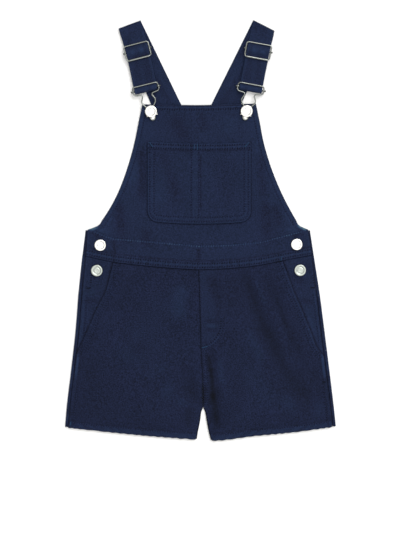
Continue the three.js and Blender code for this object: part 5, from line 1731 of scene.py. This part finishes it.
class DungareesSewing(bpy.types.PropertyGroup):
    """Sizes and colours of the thread."""
    stitch_pitch: FloatProperty(
        name="Stitch pitch", description="Distance from one stitch to the next",
        default=0.0032, min=0.001, max=0.01, unit="LENGTH", precision=5)
    thread_share: FloatProperty(
        name="Thread share", description="Share of the pitch that is thread and not gap",
        default=0.58, min=0.3, max=0.95, subtype="FACTOR")
    thread_thickness: FloatProperty(
        name="Thread thickness", description="Thickness of the sewing thread",
        default=0.00075, min=0.0002, max=0.002, unit="LENGTH", precision=5)
    thread_colour: colour_setting(
        "Thread", "Colour of the topstitching", "#1b2441")
    tack_colour: colour_setting(
        "Bar tacks", "Colour of the bar tacks", "#223a58")


class DungareesMetal(bpy.types.PropertyGroup):
    """Finish of the buttons, slides and hooks."""
    bright_colour: colour_setting(
        "Bright nickel", "Colour of the bib's buttons and the upper side buttons", "#e4e3e0")
    # The wires' nickel: the same plate painted darker, as painted shade, so that the thin wires read grey
    wire_colour: colour_setting(
        "Nickel on wire", "Colour of the bent wires of the slides and hooks", "#8b8f8c")
    # The lower side buttons' nickel: the bright nickel painted darker, as painted shade
    painted_dim_colour: colour_setting(
        "Dimmed nickel", "Colour of the lower side buttons", "#b4bab4")
    roughness: FloatProperty(
        name="Roughness", description="Roughness of the plating",
        default=0.24, min=0, max=1, subtype="FACTOR")


class DungareesStage(bpy.types.PropertyGroup):
    """Floor, light and camera."""
    floor_colour: colour_setting(
        "Paper", "Colour of the floor", "#f8f8f8")
    key_strength: FloatProperty(
        name="Key light", description="Strength of the soft light from the top right",
        default=1.85, min=0, max=20)
    fill_strength: FloatProperty(
        name="Fill light", description="Strength of the even light from all round",
        default=0.67, min=0, max=5)
    softbox_power: FloatProperty(
        name="Softbox", description="Power of the overhead softbox that the metal mirrors", default=7, min=0,
        max=100, unit="POWER")
    view_height: FloatProperty(
        name="View height", description="Length on the floor that the picture's height covers",
        default=0.702, min=0.1, max=5, unit="LENGTH")
    camera_distance: FloatProperty(
        name="Camera distance", description="Height of the camera above the floor",
        default=1.95, min=0.5, max=20, unit="LENGTH")


class DUNGAREES_OT_back(bpy.types.Operator):
    """Builds the two back panels of the shorts and the back bib"""
    bl_idname = "dungarees.back"
    bl_label = "Back panels"

    def execute(self, context):
        made_of = materials()
        for side in SIDES:
            build_back(side, made_of)
        build_back_bib(made_of)
        return {"FINISHED"}


class DUNGAREES_OT_hips(bpy.types.Operator):
    """Builds the hip pieces that show in the slanted pockets"""
    bl_idname = "dungarees.hips"
    bl_label = "Hip pieces"

    def execute(self, context):
        for side in SIDES:
            build_hip(side, materials())
        return {"FINISHED"}


class DUNGAREES_OT_fronts(bpy.types.Operator):
    """Builds the two front panels of the shorts, with fly, pocket edges and hems"""
    bl_idname = "dungarees.fronts"
    bl_label = "Front panels"

    def execute(self, context):
        for side in SIDES:
            build_front(side, materials())
        return {"FINISHED"}


class DUNGAREES_OT_bib(bpy.types.Operator):
    """Builds the bib"""
    bl_idname = "dungarees.bib"
    bl_label = "Bib"

    def execute(self, context):
        build_bib(materials())
        return {"FINISHED"}


class DUNGAREES_OT_pocket(bpy.types.Operator):
    """Builds the patch pocket on the bib"""
    bl_idname = "dungarees.pocket"
    bl_label = "Bib pocket"

    def execute(self, context):
        build_pocket(materials())
        return {"FINISHED"}


class DUNGAREES_OT_straps(bpy.types.Operator):
    """Builds the two straps"""
    bl_idname = "dungarees.straps"
    bl_label = "Straps"

    def execute(self, context):
        for side in SIDES:
            build_strap(side, materials())
        return {"FINISHED"}


class DUNGAREES_OT_slides(bpy.types.Operator):
    """Builds the slide buckles on the straps"""
    bl_idname = "dungarees.slides"
    bl_label = "Slides"

    def execute(self, context):
        for side in SIDES:
            build_slide(side, materials())
        return {"FINISHED"}


class DUNGAREES_OT_hooks(bpy.types.Operator):
    """Builds the wire hooks that hold the straps to the bib"""
    bl_idname = "dungarees.hooks"
    bl_label = "Hooks"

    def execute(self, context):
        for side in SIDES:
            build_hook(side, materials())
        return {"FINISHED"}


class DUNGAREES_OT_buttons(bpy.types.Operator):
    """Builds the buttons of the bib and of the side openings"""
    bl_idname = "dungarees.buttons"
    bl_label = "Buttons"

    def execute(self, context):
        made_of = materials()
        for side in SIDES:
            x, y, _ = STRAPS[side]["hook"]
            y -= BIB_BUTTON["drop"]
            foot_z = surface_height(bib_over, x, y) + 0.1
            head_z = HOOK["neck_z"] + WIRE + SEAM_GAP
            name = f"bib_button_{side}"
            build_button(name, x, y, foot_z, head_z, BIB_BUTTON, DIP["bright"], made_of["bright"])
        for name, (x, y) in SIDE_BUTTONS.items():
            over = bib_over if "upper" in name else hip_over
            foot_z = surface_height(over, x, y) + 0.1
            # The lower side buttons take the nickel painted darker, as painted shade; the plate is the same
            # as on the upper ones
            finish = "bright" if "upper" in name else "painted_dim"
            head_z = foot_z + SIDE_BUTTON["foot"] + 0.3
            build_button(name, x, y, foot_z, head_z, SIDE_BUTTON, DIP[finish], made_of[finish])
        return {"FINISHED"}


def surface_height(over, x, y):
    return float(over(np.array([x], float), np.array([y], float))[0])


# The stage: half the floor's width, its height, and the softbox's side and height in metres
FLOOR_HALF = 12000
FLOOR_Z = -0.2
SOFTBOX = {"side": 1.3, "height": 2.6}
# Point on the floor under the camera
CAMERA_OVER = (2.6, -51.1)


class DUNGAREES_OT_stage(bpy.types.Operator):
    """Builds the pale floor, the soft light and the camera straight above"""
    bl_idname = "dungarees.stage"
    bl_label = "Stage"

    def execute(self, context):
        scene = context.scene
        settings = scene.dungarees_stage
        corners = [(a * FLOOR_HALF, b * FLOOR_HALF, FLOOR_Z) for a, b in ((-1, -1), (1, -1), (1, 1), (-1, 1))]
        floor = new_object("floor", corners, [[0, 1, 2, 3]], studio_paper(), smooth=False)
        world = bpy.data.worlds.new("studio_light")
        world.use_nodes = True
        world.node_tree.nodes.clear()
        sky = add_node(world.node_tree, "ShaderNodeBackground", {
            "Color": rgba(linear("#fffefa")), "Strength": settings.fill_strength})
        out = add_node(world.node_tree, "ShaderNodeOutputWorld")
        world.node_tree.links.new(sky.outputs[0], out.inputs["Surface"])
        scene.world = world
        for name, strength, angle, turn in (
                ("key", settings.key_strength, 44, (math.radians(-42), 0, math.radians(-32))),
                ("side", settings.key_strength * 0.25, 50, (math.radians(38), 0, math.radians(40)))):
            light = bpy.data.lights.new(name, "SUN")
            light.energy, light.angle = strength, math.radians(angle)
            lamp = bpy.data.objects.new(name, light)
            lamp.rotation_euler = turn
            scene.collection.objects.link(lamp)
        box = bpy.data.lights.new("softbox", "AREA")
        box.shape, box.size, box.energy = "SQUARE", SOFTBOX["side"], settings.softbox_power
        holder = bpy.data.objects.new("softbox", box)
        holder.location = (0, 0, SOFTBOX["height"])
        scene.collection.objects.link(holder)
        camera = bpy.data.cameras.new("camera")
        camera.sensor_width = 36
        camera.lens = camera.sensor_width * settings.camera_distance / settings.view_height
        camera.clip_start, camera.clip_end = 0.1, 20
        holder = bpy.data.objects.new("camera", camera)
        holder.location = (CAMERA_OVER[0] * MM, CAMERA_OVER[1] * MM, settings.camera_distance)
        scene.collection.objects.link(holder)
        scene.camera = holder
        scene.view_settings.view_transform = "Standard"
        return {"FINISHED"}


STEPS = ("stage", "back", "hips", "fronts", "bib", "pocket", "straps", "slides", "hooks", "buttons")


class DUNGAREES_PT_panel(bpy.types.Panel):
    """Lists the pieces and their settings"""
    bl_idname = "DUNGAREES_PT_panel"
    bl_label = "Dungaree shorts"
    bl_space_type = "VIEW_3D"
    bl_region_type = "UI"
    bl_category = "Dungarees"

    def draw(self, context):
        layout = self.layout
        for step in STEPS:
            layout.operator(f"dungarees.{step}")
        for group in GROUPS:
            settings = getattr(context.scene, group)
            box = layout.box()
            for name in settings.__annotations__:
                box.prop(settings, name)


GROUPS = {
    "dungarees_cloth": DungareesCloth,
    "dungarees_sewing": DungareesSewing,
    "dungarees_metal": DungareesMetal,
    "dungarees_stage": DungareesStage,
}
OPERATORS = (
    DUNGAREES_OT_stage, DUNGAREES_OT_back, DUNGAREES_OT_hips, DUNGAREES_OT_fronts, DUNGAREES_OT_bib,
    DUNGAREES_OT_pocket, DUNGAREES_OT_straps, DUNGAREES_OT_slides, DUNGAREES_OT_hooks, DUNGAREES_OT_buttons,
)


def register():
    for name, group in GROUPS.items():
        bpy.utils.register_class(group)
        setattr(bpy.types.Scene, name, PointerProperty(type=group))
    for operator in OPERATORS:
        bpy.utils.register_class(operator)
    bpy.utils.register_class(DUNGAREES_PT_panel)


def unregister():
    bpy.utils.unregister_class(DUNGAREES_PT_panel)
    for operator in reversed(OPERATORS):
        bpy.utils.unregister_class(operator)
    for name, group in GROUPS.items():
        delattr(bpy.types.Scene, name)
        bpy.utils.unregister_class(group)


def main():
    register()
    for step in STEPS:
        getattr(bpy.ops.dungarees, step)()
    bpy.context.view_layer.update()


if __name__ == "__main__":
    main()
